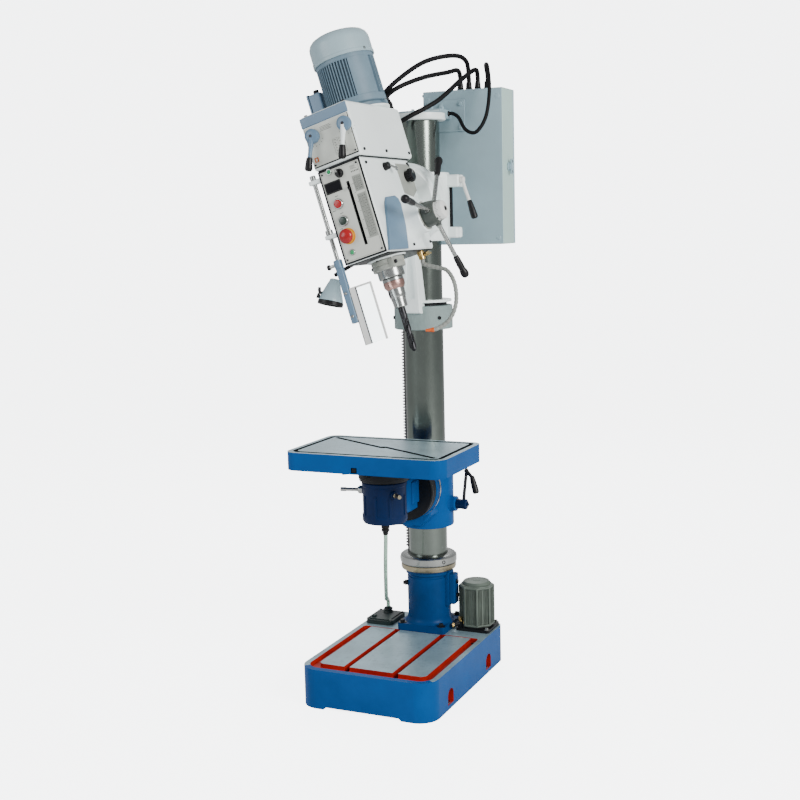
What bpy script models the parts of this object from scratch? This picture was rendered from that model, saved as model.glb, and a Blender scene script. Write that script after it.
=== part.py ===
"""Round-column geared-head drill press: base, column, tilting table and tilting head.

Metres, +Z up. The column's axis is x = y = 0, the floor is z = 0 and the machine faces -Y.
The head's pieces are placed in the frame of the head_frame empty, whose origin is on the
tilt axis and whose Z is the spindle's direction.
"""

import math

import bmesh
import bpy
from mathutils import Vector

GAP = 0.0003  # between pieces that touch

# Driving dimensions
COLUMN_R = 0.060
BORE_R = COLUMN_R + GAP
BASE_LOW = (-0.212, -0.496)
BASE_HIGH = (0.212, 0.100)
BASE_TOP = 0.117
COLUMN_TOP = 1.6937
FOOT_TOP = 0.3097
RING_TOP = 0.3587
RACK_TOP = 1.064
TABLE_TILT_Z = 0.594
TABLE_Y = -0.3154
TABLE_SIZE = (0.4952, 0.312)
TABLE_TOP = 0.7477
TABLE_BOTTOM = 0.6953
FLANGE_FACE_Y = -0.150
HEAD_PIVOT_Z = 1.445
HEAD_TILT = math.radians(17)
HEAD_FLANGE_Y = -0.135
GUIDE_RING_Z = (1.068, 1.140)
CABINET_LOW = (-0.030, 0.100, 1.320)
CABINET_HIGH = (0.230, 0.197, 1.790)
DOOR_THICK = 0.012
CABLE_R = 0.007
HOSE_R = 0.006

# In the head's frame
FRONT_Y = -0.485
LOWER_X = 0.068
LOWER_Z = (-0.155, 0.1135)
UPPER_X = 0.076
UPPER_Z = (0.1138, 0.268)
SPINDLE_Y = -0.360
GEAR_MODULE = 0.004
SPINDLE_TEETH = 30
MOTOR_TEETH = 27
MOTOR_Y = SPINDLE_Y + GEAR_MODULE * (SPINDLE_TEETH + MOTOR_TEETH) / 2
MOTOR_R = 0.086
QUILL_R = 0.0375
FEED_AXIS = (-0.270, -0.070)  # y and z
LEVER_START = math.radians(50)
LEVER_CONE = math.tan(math.radians(4))
LEVER_REACH = 0.210
PANEL_Y = -0.4893
BUTTON_X = -0.031
BUTTONS = {  # height, bezel radius and cap or stem radius
    "stop_button": (0.011, 0.0145, 0.0115),
    "start_button": (-0.037, 0.0145, 0.0115),
    "emergency_stop": (-0.080, 0.0190, 0.0080),
}
GLANDS = ((0.060, -0.156), (0.034, -0.150))
REAR_GLAND = (0.050, -0.140, 0.235)
CABINET_GLANDS = (0.080, 0.108, 0.137, 0.168)
GLAND_Y = 0.140

LOOKS = {
    "blue_paint": ((0.012, 0.110, 0.400), 0.35, 0.0),
    "grey_paint": ((0.620, 0.680, 0.680), 0.40, 0.0),
    "blue_grey_paint": ((0.300, 0.400, 0.480), 0.40, 0.0),
    "panel_beige": ((0.560, 0.560, 0.480), 0.45, 0.0),
    "steel": ((0.560, 0.560, 0.550), 0.25, 1.0),
    "dark_steel": ((0.100, 0.100, 0.110), 0.40, 1.0),
    "aluminium": ((0.350, 0.430, 0.480), 0.45, 0.6),
    "brass": ((0.700, 0.480, 0.200), 0.30, 1.0),
    "black_plastic": ((0.015, 0.015, 0.017), 0.40, 0.0),
    "black_rubber": ((0.020, 0.020, 0.020), 0.60, 0.0),
    "white_plastic": ((0.750, 0.760, 0.740), 0.40, 0.0),
    "red_plastic": ((0.550, 0.020, 0.020), 0.35, 0.0),
    "green_plastic": ((0.010, 0.080, 0.040), 0.35, 0.0),
    "clear_plastic": ((0.750, 0.850, 0.850), 0.10, 0.0),
    "hose_green": ((0.520, 0.680, 0.560), 0.35, 0.0),
}


def clear_scene():
    for obj in list(bpy.data.objects):
        bpy.data.objects.remove(obj, do_unlink=True)


def new_collection(name, hidden=False):
    collection = bpy.data.collections.new(name)
    bpy.context.scene.collection.children.link(collection)
    collection.hide_render = hidden
    return collection


def material(look):
    if look in bpy.data.materials:
        return bpy.data.materials[look]
    color, rough, metal = LOOKS[look]
    made = bpy.data.materials.new(look)
    made.use_nodes = True
    shader = made.node_tree.nodes["Principled BSDF"]
    shader.inputs["Base Color"].default_value = (*color, 1.0)
    shader.inputs["Roughness"].default_value = rough
    shader.inputs["Metallic"].default_value = metal
    return made


def place(name, data, look, parent, at=(0, 0, 0), direction=(0, 0, 1)):
    """An object with its Z along direction. With no look it is a tool for a Boolean."""
    obj = bpy.data.objects.new(name, data)
    obj.location = at
    obj.rotation_euler = Vector((0, 0, 1)).rotation_difference(Vector(direction)).to_euler()
    obj.parent = parent
    if look is None:
        obj.hide_render = True
        obj.display_type = "WIRE"
        TOOLS.objects.link(obj)
    else:
        data.materials.append(material(look))
        PARTS.objects.link(obj)
    return obj


def block(name, low, high, look=None, parent=None):
    """A box between two corners."""
    low, high = Vector(low), Vector(high)
    mesh = bpy.data.meshes.new(name)
    shape = bmesh.new()
    bmesh.ops.create_cube(shape, size=1.0)
    bmesh.ops.scale(shape, vec=high - low, verts=shape.verts)
    shape.to_mesh(mesh)
    shape.free()
    return place(name, mesh, look, parent, at=(low + high) / 2)


def rod(name, start, end, radius, look=None, parent=None, end_radius=None, sides=32):
    """A cylinder or cone from start to end, with its origin at start."""
    start, end = Vector(start), Vector(end)
    length = (end - start).length
    mesh = bpy.data.meshes.new(name)
    shape = bmesh.new()
    bmesh.ops.create_cone(
        shape, cap_ends=True, segments=sides, radius1=radius, depth=length,
        radius2=radius if end_radius is None else end_radius,
    )
    bmesh.ops.translate(shape, vec=(0, 0, length / 2), verts=shape.verts)
    shape.to_mesh(mesh)
    shape.free()
    return place(name, mesh, look, parent, at=start, direction=end - start)


def turned(name, profile, look=None, parent=None, at=(0, 0, 0), direction=(0, 0, 1), steps=32):
    """A turned piece: (radius, height) points down the outer side. It is closed off at the axis or as a ring."""
    mesh = bpy.data.meshes.new(name)
    ring = profile[0][0] > 0
    count = len(profile)
    edges = [(i, (i + 1) % count) for i in range(count if ring else count - 1)]
    mesh.from_pydata([(r, 0, z) for r, z in profile], edges, [])
    obj = place(name, mesh, look, parent, at, direction)
    screw = obj.modifiers.new("turn", "SCREW")
    screw.steps = screw.render_steps = steps
    screw.use_merge_vertices = True
    screw.merge_threshold = 0.0001
    screw.use_smooth_shade = False
    return obj


def slab(name, outline, thickness, look=None, parent=None, at=(0, 0, 0), direction=(0, 0, 1)):
    """A flat outline given thickness, half on each side of its plane, as a mesh."""
    curve = bpy.data.curves.new(name, "CURVE")
    curve.dimensions = "2D"
    curve.fill_mode = "BOTH"
    curve.extrude = thickness / 2
    spline = curve.splines.new("POLY")
    spline.points.add(len(outline) - 1)
    for point, (x, y) in zip(spline.points, outline):
        point.co = (x, y, 0, 1)
    spline.use_cyclic_u = True
    flat = bpy.data.objects.new(name + "_curve", curve)
    PARTS.objects.link(flat)
    graph = bpy.context.evaluated_depsgraph_get()
    mesh = bpy.data.meshes.new_from_object(flat.evaluated_get(graph))
    bpy.data.objects.remove(flat)
    shape = bmesh.new()
    shape.from_mesh(mesh)
    bmesh.ops.remove_doubles(shape, verts=shape.verts, dist=0.00001)
    bmesh.ops.recalc_face_normals(shape, faces=shape.faces)
    shape.to_mesh(mesh)
    shape.free()
    mesh.name = name
    return place(name, mesh, look, parent, at, direction)


def smooth_route(points, spacing):
    """Points about a spacing apart on the Catmull-Rom curve through the given ones."""
    path = [Vector(p) for p in points]
    path = [2 * path[0] - path[1]] + path + [2 * path[-1] - path[-2]]
    route = [path[1]]
    for a, b, c, d in zip(path, path[1:], path[2:], path[3:]):
        count = max(1, round((c - b).length / spacing))
        for i in range(1, count + 1):
            t = i / count
            route.append(
                0.5 * (2 * b + (c - a) * t + (2 * a - 5 * b + 4 * c - d) * t * t
                       + (3 * b - a - 3 * c + d) * t ** 3)
            )
    return route


def tube(name, points, radius, look, parent=None):
    """A hose or cable along a smooth route."""
    curve = bpy.data.curves.new(name, "CURVE")
    curve.dimensions = "3D"
    curve.bevel_depth = radius
    curve.bevel_resolution = 2
    curve.use_fill_caps = True
    route = smooth_route(points, 5 * radius)
    spline = curve.splines.new("POLY")
    spline.points.add(len(route) - 1)
    for point, place_at in zip(spline.points, route):
        point.co = (*place_at, 1)
    return place(name, curve, look, parent)


def boolean(target, tool, operation):
    step = target.modifiers.new(tool.name, "BOOLEAN")
    step.operation = operation
    step.object = tool
    step.solver = "EXACT"


def cut(target, *tools):
    for tool in tools:
        boolean(target, tool, "DIFFERENCE")
    return target


def join(target, *tools):
    for tool in tools:
        boolean(target, tool, "UNION")
    return target


def soften(obj, width, segments=2):
    """Rounded edges. It comes before any Boolean."""
    bevel = obj.modifiers.new("soften", "BEVEL")
    bevel.width = width
    bevel.segments = segments
    bevel.limit_method = "ANGLE"
    bevel.angle_limit = math.radians(40)
    return obj


def rounded_outline(low, high, front_r, rear_r, steps=6):
    """A rectangle from low to high with quarter-round corners, as (x, y) points."""
    (x0, y0), (x1, y1) = low, high
    corners = (
        (x1 - rear_r, y1 - rear_r, rear_r, 0), (x0 + rear_r, y1 - rear_r, rear_r, 90),
        (x0 + front_r, y0 + front_r, front_r, 180), (x1 - front_r, y0 + front_r, front_r, 270),
    )
    points = []
    for x, y, radius, start in corners:
        for i in range(steps + 1):
            angle = math.radians(start + 90 * i / steps)
            points.append((x + radius * math.cos(angle), y + radius * math.sin(angle)))
    return points


def gear_outline(teeth, module, middle):
    """A straight-flanked gear with a tooth centred on the angle middle. The play is generous."""
    pitch_r = module * teeth / 2
    tip_r, root_r = pitch_r + 0.75 * module, pitch_r - 1.05 * module
    tip_half, root_half = 0.35 * module / pitch_r, 0.85 * module / pitch_r
    points = []
    for i in range(teeth):
        angle = middle + 2 * math.pi * i / teeth
        for radius, turn in ((root_r, -root_half), (tip_r, -tip_half), (tip_r, tip_half), (root_r, root_half)):
            points.append((radius * math.cos(angle + turn), radius * math.sin(angle + turn)))
    return points


def empty(name, at, turn=(0, 0, 0), parent=None):
    obj = bpy.data.objects.new(name, None)
    obj.location = at
    obj.rotation_euler = turn
    obj.parent = parent
    PARTS.objects.link(obj)
    return obj


# ---- Base and column


def make_base():
    base = slab(
        "base_casting", rounded_outline(BASE_LOW, BASE_HIGH, 0.060, 0.030),
        BASE_TOP, "blue_paint", at=(0, 0, BASE_TOP / 2),
    )
    soften(base, 0.004)
    trough_z = 0.105
    trough = slab(
        "trough_tool", rounded_outline((-0.195, -0.475), (0.195, -0.075), 0.040, 0.012),
        0.040, at=(0, 0, trough_z + 0.020),
    )
    cut(trough, block("plate_tool", (-0.170, -0.440, 0.0), (0.170, -0.080, 0.2)))
    cut(base, trough)
    for side in (-1, 1):
        slot_x = side * 0.0775
        cut(
            base,
            block(f"slot_neck_{side}", (slot_x - 0.009, -0.474, 0.084), (slot_x + 0.009, -0.076, 0.130)),
            block(f"slot_foot_{side}", (slot_x - 0.016, -0.473, 0.085), (slot_x + 0.016, -0.077, 0.098)),
        )
        for row, (front, rear) in enumerate(((-0.470, -0.300), (-0.280, -0.110))):
            near, far = sorted((side * 0.012, side * 0.155))
            cut(base, block(f"pocket_{side}_{row}", (near, front, -0.010), (far, rear, 0.068)))
        for row, y in enumerate((-0.352, -0.040)):
            inner, outer = side * 0.168, side * 0.220
            near, far = sorted((inner, outer))
            cut(
                base,
                rod(f"anchor_arch_{side}_{row}", (inner, y, 0.038), (outer, y, 0.038), 0.022, sides=24),
                block(f"anchor_bay_{side}_{row}", (near, y - 0.0218, 0.014), (far, y + 0.0218, 0.038)),
                rod(f"anchor_bolt_{side}_{row}", (side * 0.190, y, -0.010), (side * 0.190, y, 0.030), 0.009, sides=20),
            )


def make_coolant_pump():
    floor = BASE_TOP + GAP
    cover = soften(block("sump_cover", (-0.204, -0.055, floor), (-0.112, 0.060, 0.134), "black_plastic"), 0.004)
    join(cover, rod("sump_neck", (-0.162, 0.034, 0.130), (-0.162, 0.034, 0.150), 0.014, sides=24))
    soften(block("coolant_pump_base", (0.096, -0.022, floor), (0.206, 0.083, 0.131), "black_plastic"), 0.004)
    axis = (0.149, 0.030)
    motor = soften(rod("coolant_pump_motor", (*axis, 0.1313), (*axis, 0.262), 0.055, "aluminium", sides=8), 0.003)
    join(motor, rod("pump_cap", (*axis, 0.260), (*axis, 0.273), 0.032, sides=24))


def make_column():
    floor = BASE_TOP + GAP
    foot = soften(block("column_foot", (-0.080, -0.079, floor), (0.080, 0.080, 0.139), "blue_paint"), 0.004)
    join(
        foot,
        rod("foot_post", (0, 0, 0.130), (0, 0, FOOT_TOP), 0.0685, sides=40),
        block("foot_boss", (0.050, -0.018, 0.200), (0.094, 0.018, 0.296)),
    )
    cut(foot, rod("foot_bore", (0, 0, 0.050), (0, 0, 0.400), BORE_R, sides=40))
    turned(
        "column_tube",
        ((COLUMN_R, COLUMN_TOP), (COLUMN_R, floor), (COLUMN_R - 0.012, floor), (COLUMN_R - 0.012, COLUMN_TOP)),
        "steel", steps=40,
    )
    cap = soften(rod("column_cap", (0, 0, COLUMN_TOP + GAP), (0, 0, 1.721), 0.080, "grey_paint", sides=40), 0.003)
    join(
        cap,
        block("cap_arm", (0.005, 0.0, 1.702), (0.065, 0.098, 1.730)),
        block("cap_plate", (-0.020, 0.0935, 1.665), (0.110, CABINET_LOW[1] - GAP, 1.760)),
    )


def make_cabinet():
    body = soften(block("cabinet_body", CABINET_LOW, CABINET_HIGH, "blue_grey_paint"), 0.002)
    wall = Vector((0.003, 0.003, 0.003))
    inside_high = Vector(CABINET_HIGH) - wall
    inside_high.y = CABINET_HIGH[1] + 0.010
    cut(body, block("cabinet_inside", Vector(CABINET_LOW) + wall, inside_high))
    for i, x in enumerate(CABINET_GLANDS):
        top = CABINET_HIGH[2]
        join(body, rod(f"cabinet_gland_{i}", (x, GLAND_Y, top - 0.002), (x, GLAND_Y, top + 0.015), 0.011, sides=16))
    back = CABINET_LOW[1] + 0.003 + GAP
    panel = block("contactor_panel", (0.000, back, 1.350), (0.200, back + 0.006, 1.760), "steel")
    join(
        panel,
        block("contactor_row", (0.020, back + 0.004, 1.640), (0.180, back + 0.050, 1.720)),
        block("terminal_row", (0.020, back + 0.004, 1.420), (0.180, back + 0.030, 1.450)),
    )
    front = CABINET_HIGH[1] + GAP
    hinge = empty("cabinet_hinge", (CABINET_LOW[0], front + DOOR_THICK, 1.555))
    high = (CABINET_HIGH[0] - CABINET_LOW[0], 0, 0.235)
    soften(block("cabinet_door", (0, -DOOR_THICK, -0.235), high, "blue_grey_paint", hinge), 0.003)
    latch = empty("latch_axis", (0.230 + GAP, 0.150, 1.555))
    knob = rod("cabinet_latch", (0, 0, 0), (0.010, 0, 0), 0.012, "black_plastic", latch, sides=20)
    join(knob, block("latch_tab", (0.006, -0.005, -0.022), (0.014, 0.005, 0.022), parent=latch))


def make_rack():
    """The rack swings round the column with its ring and the table."""
    turned(
        "rack_ring",
        (
            (0.0850, RING_TOP), (0.0885, RING_TOP - 0.006), (0.0885, RING_TOP - 0.026), (0.0865, RING_TOP - 0.029),
            (0.0865, FOOT_TOP + 0.004), (0.0840, FOOT_TOP + GAP), (BORE_R, FOOT_TOP + GAP), (BORE_R, RING_TOP),
        ),
        "steel", steps=40,
    )
    bottom = RING_TOP + GAP
    pitch = 0.003 * math.pi
    tip, root, back = -0.0735, -0.0675, -0.0606
    outline = [(back, bottom), (back, RACK_TOP), (root, RACK_TOP)]
    for i in range(int((RACK_TOP - bottom) / pitch) - 1):
        middle = RACK_TOP - pitch * (i + 1)
        outline += [
            (root, middle + 0.36 * pitch), (tip, middle + 0.14 * pitch),
            (tip, middle - 0.14 * pitch), (root, middle - 0.36 * pitch),
        ]
    outline.append((root, bottom))
    slab("column_rack", outline, 0.018, "dark_steel", direction=(0, -1, 0))


# ---- Table


def make_table_bracket():
    bracket = rod("table_bracket", (0, 0, 0.449), (0, 0, 0.668), 0.083, "blue_paint", sides=40)
    soften(bracket, 0.004)
    join(
        bracket,
        block("bracket_neck", (-0.062, -0.125, 0.505), (0.062, -0.030, 0.655)),
        rod("bracket_flange", (0, FLANGE_FACE_Y, TABLE_TILT_Z), (0, -0.118, TABLE_TILT_Z), 0.098, sides=40),
        rod("crank_boss", (0.060, 0.0, 0.520), (0.100, 0.0, 0.520), 0.024, sides=24),
        block("bracket_lug", (-0.030, 0.070, 0.470), (0.030, 0.100, 0.640)),
    )
    cut(
        bracket,
        rod("bracket_bore", (0, 0, 0.400), (0, 0, 0.700), BORE_R, sides=40),
        block("rack_way", (-0.0745, -0.0100, 0.400), (-0.050, 0.0100, 0.700)),
        block("bracket_split", (-0.002, 0.050, 0.400), (0.002, 0.120, 0.700)),
        rod("crank_bore", (0.062, 0.0, 0.520), (0.110, 0.0, 0.520), 0.0093, sides=24),
    )
    axis = empty("crank_axis", (0.1003, 0.0, 0.520))
    crank = rod("elevating_crank", (-0.030, 0, 0), (0.004, 0, 0), 0.009, "dark_steel", axis, sides=20)
    join(
        crank,
        rod("crank_hub", (0.0, 0, 0), (0.034, 0, 0), 0.016, parent=axis, sides=24),
        rod("crank_arm", (0.022, 0, 0), (0.030, 0.010, 0.110), 0.0055, parent=axis, sides=12),
        rod("crank_pin", (0.026, 0.010, 0.106), (0.052, 0.004, 0.084), 0.0050, parent=axis, sides=12),
        rod("crank_grip", (0.048, 0.006, 0.090), (0.066, -0.002, 0.036), 0.0095, parent=axis, sides=16),
    )


def make_table():
    face = FLANGE_FACE_Y - GAP
    tilt = empty("table_tilt_axis", (0, face, TABLE_TILT_Z))
    y = TABLE_Y - face
    arm = rod("table_arm", (0, 0, 0), (0, -0.030, 0), 0.095, "blue_paint", tilt, sides=40)
    join(
        arm,
        block("arm_beam", (-0.045, y, -0.050), (0.045, -0.020, 0.045), parent=tilt),
        rod("arm_boss", (0, y, -0.068), (0, y, 0.056), 0.066, parent=tilt, sides=40),
        rod("drain_fitting", (0, y, -0.098), (0, y, -0.060), 0.012, parent=tilt, sides=16),
    )
    cut(
        arm,
        rod("stem_bore", (0, y, -0.055), (0, y, 0.100), 0.0403, parent=tilt, sides=40),
        rod("drain_bore", (0, y, -0.120), (0, y, -0.050), 0.0045, parent=tilt, sides=12),
    )
    top_axis = empty("table_turn_axis", (0, TABLE_Y, TABLE_TOP))
    half_x, half_y = TABLE_SIZE[0] / 2, TABLE_SIZE[1] / 2
    thick = TABLE_TOP - TABLE_BOTTOM
    top = slab(
        "table_top", rounded_outline((-half_x, -half_y), (half_x, half_y), 0.040, 0.030), thick,
        "blue_paint", top_axis, at=(0, 0, -thick / 2),
    )
    soften(top, 0.004)
    groove = slab(
        "groove_tool", rounded_outline((-half_x + 0.022, -half_y + 0.022), (half_x - 0.022, half_y - 0.022), 0.026, 0.018),
        0.020, parent=top_axis,
    )
    cut(groove, slab(
        "groove_core", rounded_outline((-half_x + 0.032, -half_y + 0.032), (half_x - 0.032, half_y - 0.032), 0.018, 0.010),
        0.040, parent=top_axis,
    ))
    slot = block("diagonal_slot", (-0.008, -0.140, -0.014), (0.008, 0.140, 0.020), parent=top_axis)
    slot.rotation_euler = (0, 0, math.radians(58))
    join(
        top,
        rod("table_hub", (0, 0, -0.096), (0, 0, -thick + 0.004), 0.075, parent=top_axis, sides=40),
        rod("table_stem", (0, 0, -0.205), (0, 0, -0.090), 0.040, parent=top_axis, sides=40),
    )
    cut(top, groove, slot, rod("table_hole", (0, 0, -0.240), (0, 0, 0.020), 0.014, parent=top_axis, sides=24))
    clamp = empty("table_clamp_axis", (-0.0668, TABLE_Y, 0.618))
    lever = rod("table_clamp_lever", (0, 0, 0), (-0.016, 0, 0), 0.012, "steel", clamp, sides=20)
    join(lever, rod("clamp_handle", (-0.008, 0, 0), (-0.062, -0.030, 0.004), 0.006, parent=clamp, sides=12))
    tube(
        "drain_hose",
        (
            (0, TABLE_Y, 0.4955), (0, TABLE_Y, 0.470), (-0.010, -0.300, 0.395), (-0.046, -0.225, 0.300),
            (-0.100, -0.110, 0.225), (-0.150, -0.004, 0.195), (-0.162, 0.034, 0.170), (-0.162, 0.034, 0.1503),
        ),
        HOSE_R, "hose_green",
    )


# ---- Head bracket


def make_head_bracket():
    bracket = rod("head_bracket", (0, 0, 1.335), (0, 0, 1.540), 0.088, "grey_paint", sides=40)
    soften(bracket, 0.004)
    web = ((-0.030, 1.345), (-0.030, 1.270), (-0.055, 1.120), (0.055, 1.120), (0.030, 1.270), (0.030, 1.345))
    join(
        bracket,
        block("bracket_body", (-0.084, -0.112, 1.365), (0.084, -0.010, 1.525)),
        rod("head_flange", (0, HEAD_FLANGE_Y, HEAD_PIVOT_Z), (0, -0.103, HEAD_PIVOT_Z), 0.122, sides=48),
        slab("bracket_web", web, 0.050, at=(0, -0.075, 0), direction=(0, -1, 0)),
        rod("guide_ring", (0, 0, GUIDE_RING_Z[0]), (0, 0, GUIDE_RING_Z[1]), 0.090, sides=40),
        block("top_lug", (0.060, -0.004, 1.495), (0.124, 0.044, 1.532)),
        block("bottom_lug", (0.060, -0.004, 1.343), (0.118, 0.044, 1.376)),
    )
    cut(
        bracket,
        rod("head_bore", (0, 0, 1.0), (0, 0, 1.6), BORE_R, sides=40),
        block("lug_split", (0.040, 0.020, 1.300), (0.130, 0.024, 1.580)),
    )
    axis = empty("head_clamp_axis", (0.1243, 0.010, 1.516))
    lever = rod("head_clamp_lever", (0, 0, 0), (0.014, 0, 0), 0.0095, "steel", axis, sides=20)
    join(
        lever,
        rod("clamp_shaft", (0.007, 0, 0), (0.031, 0, -0.068), 0.0055, parent=axis, sides=12),
        rod("clamp_grip", (0.029, 0, -0.062), (0.047, 0, -0.116), 0.0100, parent=axis, sides=16),
    )


# ---- Head


def make_housings(head):
    lower = block(
        "lower_housing", (-LOWER_X, FRONT_Y, LOWER_Z[0]), (LOWER_X, -0.165, LOWER_Z[1]), "grey_paint", head,
    )
    soften(lower, 0.010, 3)
    y, z = FEED_AXIS
    join(
        lower,
        rod("swivel_disc", (0, -0.170, 0), (0, HEAD_FLANGE_Y - GAP, 0), 0.112, parent=head, sides=48),
        rod("feed_boss", (0.040, y, z), (0.112, y, z), 0.050, parent=head, end_radius=0.046),
        block("lamp_foot", (-0.092, -0.330, -0.150), (-0.060, -0.290, -0.110), parent=head),
        block("rod_lug_top", (-0.104, -0.4849, 0.085), (-0.060, -0.462, 0.097), parent=head),
        block("rod_lug_low", (-0.104, -0.4849, -0.070), (-0.060, -0.462, -0.058), parent=head),
        rod("coolant_elbow", (0.045, -0.220, -0.150), (0.045, -0.220, -0.180), 0.010, parent=head, sides=20),
    )
    cut(
        lower,
        rod("quill_bore", (0, SPINDLE_Y, -0.200), (0, SPINDLE_Y, 0.200), QUILL_R + GAP, parent=head, sides=40),
        rod("feed_bore", (0.034, y, z), (0.150, y, z), 0.0153, parent=head, sides=24),
        block("pointer_way", (0.0095, FRONT_Y - 0.010, -0.148), (0.0185, SPINDLE_Y, 0.072), parent=head),
        rod("guard_way", (-0.090, -0.476, -0.100), (-0.090, -0.476, 0.130), 0.0063, parent=head, sides=16),
    )
    upper = block("upper_housing", (-UPPER_X, FRONT_Y, UPPER_Z[0]), (UPPER_X, -0.140, UPPER_Z[1]), "grey_paint", head)
    soften(upper, 0.010, 3)
    for i, (x, gland_y) in enumerate(GLANDS):
        join(upper, rod(f"gland_{i}", (x, gland_y, 0.260), (x, gland_y, 0.285), 0.0085, parent=head, sides=16))
    x, y, z = REAR_GLAND
    join(upper, rod("rear_gland", (x, y - 0.004, z), (x, y + 0.015, z), 0.0095, parent=head, sides=16))
    cut(
        upper,
        block("gear_room", (-0.068, -0.474, 0.100), (0.068, -0.152, 0.257), parent=head),
        rod("shaft_hole", (0, MOTOR_Y, 0.200), (0, MOTOR_Y, 0.300), 0.0145, parent=head, sides=24),
    )


def make_drive(head):
    """The motor, its rotor with the pinion, the spindle's gear, the quill and the spindle."""
    bottom = UPPER_Z[1] + GAP
    turned(
        "motor_body",
        (
            (MOTOR_R, 0.432), (MOTOR_R, 0.286), (0.074, 0.284), (0.074, bottom),
            (0.0145, bottom), (0.0145, 0.432),
        ),
        "aluminium", head, at=(0, MOTOR_Y, 0), steps=40,
    )
    turned(
        "motor_cowl",
        (
            (0, 0.505), (0.060, 0.505), (0.082, 0.496), (0.089, 0.478), (0.089, 0.426),
            (0.0865, 0.426), (0.0865, 0.477), (0.080, 0.4935), (0.059, 0.5020), (0, 0.5020),
        ),
        "blue_grey_paint", head, at=(0, MOTOR_Y, 0), steps=40,
    )
    box = soften(block("terminal_box", (-0.124, -0.300, 0.298), (-0.060, -0.192, 0.366), "blue_grey_paint", head), 0.005)
    cut(box, rod("motor_tool", (0, MOTOR_Y, 0.250), (0, MOTOR_Y, 0.450), MOTOR_R + GAP, parent=head, sides=40))

    gear_z = 0.136
    rotor_axis = empty("motor_axis", (0, MOTOR_Y, 0), parent=head)
    tooth_gap = math.radians(270) - math.pi / MOTOR_TEETH
    rotor = slab(
        "motor_rotor", gear_outline(MOTOR_TEETH, GEAR_MODULE, tooth_gap), 0.028,
        "dark_steel", rotor_axis, at=(0, 0, gear_z),
    )
    join(
        rotor,
        rod("rotor_shaft", (0, 0, 0.118), (0, 0, 0.476), 0.0135, parent=rotor_axis, sides=24),
        rod("fan_disc", (0, 0, 0.448), (0, 0, 0.468), 0.070, parent=rotor_axis),
    )
    gear_axis = empty("spindle_axis", (0, SPINDLE_Y, 0), parent=head)
    gear = slab(
        "spindle_gear", gear_outline(SPINDLE_TEETH, GEAR_MODULE, math.radians(90)), 0.028,
        "dark_steel", gear_axis, at=(0, 0, gear_z),
    )
    join(gear, rod("gear_sleeve", (0, 0, 0.1145), (0, 0, 0.200), 0.028, parent=gear_axis, sides=24))
    cut(gear, rod("sleeve_bore", (0, 0, 0.050), (0, 0, 0.300), 0.0153, parent=gear_axis, sides=24))

    turned(
        "quill",
        (
            (QUILL_R, 0.055), (QUILL_R, -0.161), (0.0450, -0.163), (0.0450, -0.190), (QUILL_R, -0.192),
            (QUILL_R, -0.215), (0.0155, -0.215), (0.0155, 0.055),
        ),
        "steel", gear_axis, steps=40,
    )
    pointer_x = (0.0105, 0.0175)
    pointer_y = -math.sqrt(QUILL_R ** 2 - pointer_x[0] ** 2) - GAP
    pointer_low, pointer_high = (pointer_x[0], -0.137, 0.038), (pointer_x[1], pointer_y, 0.046)
    block("depth_pointer", pointer_low, pointer_high, "red_plastic", gear_axis)
    turned(
        "spindle",
        (
            (0, 0.254), (0.0150, 0.254), (0.0150, -0.2153), (0.0300, -0.2153), (0.0300, -0.245),
            (0.0240, -0.262), (0.0190, -0.300), (0, -0.300),
        ),
        "steel", gear_axis, steps=28,
    )
    turned(
        "twist_drill",
        ((0, -0.3003), (0.0100, -0.3003), (0.0100, -0.4240), (0, -0.4300)),
        "dark_steel", gear_axis, steps=16,
    )


def make_feed(head):
    """The feed hub with its three levers. Each lever leans out a little."""
    y, z = FEED_AXIS
    axis = empty("feed_axis", (0, y, z), parent=head)
    hub = rod("feed_hub", (0.036, 0, 0), (0.120, 0, 0), 0.0150, "dark_steel", axis, sides=24)
    join(hub, rod("hub_body", (0.1123, 0, 0), (0.152, 0, 0), 0.036, parent=axis, end_radius=0.032))
    join(hub, rod("hub_dial", (0.150, 0, 0), (0.176, 0, 0), 0.028, parent=axis, end_radius=0.025))
    for i in range(3):
        angle = LEVER_START + math.tau * i / 3
        out = Vector((0, math.cos(angle), math.sin(angle)))

        def along(reach):
            return Vector((0.136 + reach * LEVER_CONE, 0, 0)) + out * reach

        rod(f"feed_lever_{i + 1}", along(0.0375), along(0.140), 0.0065, "steel", axis, sides=16)
        grip = rod(
            f"feed_grip_{i + 1}", along(0.1403), along(LEVER_REACH), 0.0095, "black_plastic", axis,
            end_radius=0.0120, sides=20,
        )
        soften(grip, 0.003)


def make_panels(head):
    panel = block(
        "control_panel", (-0.060, PANEL_Y, -0.148), (0.060, FRONT_Y - GAP, 0.106), "panel_beige", head,
    )
    cut(panel, block("slot_tool", (0.0095, -0.500, -0.118), (0.0185, -0.480, 0.060), parent=head))
    for name, (z, bezel_r, cap_r) in BUTTONS.items():
        join(panel, rod(f"{name}_bezel", (BUTTON_X, FRONT_Y - 0.001, z), (BUTTON_X, -0.4955, z), bezel_r, parent=head, sides=24))
        cut(panel, rod(f"{name}_hole", (BUTTON_X, -0.470, z), (BUTTON_X, -0.510, z), cap_r + GAP, parent=head, sides=24))
    slab_front = block(
        "speed_panel", (-0.068, PANEL_Y, 0.126), (0.068, FRONT_Y - GAP, 0.260), "panel_beige", head,
    )
    soften(slab_front, 0.001)


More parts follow.
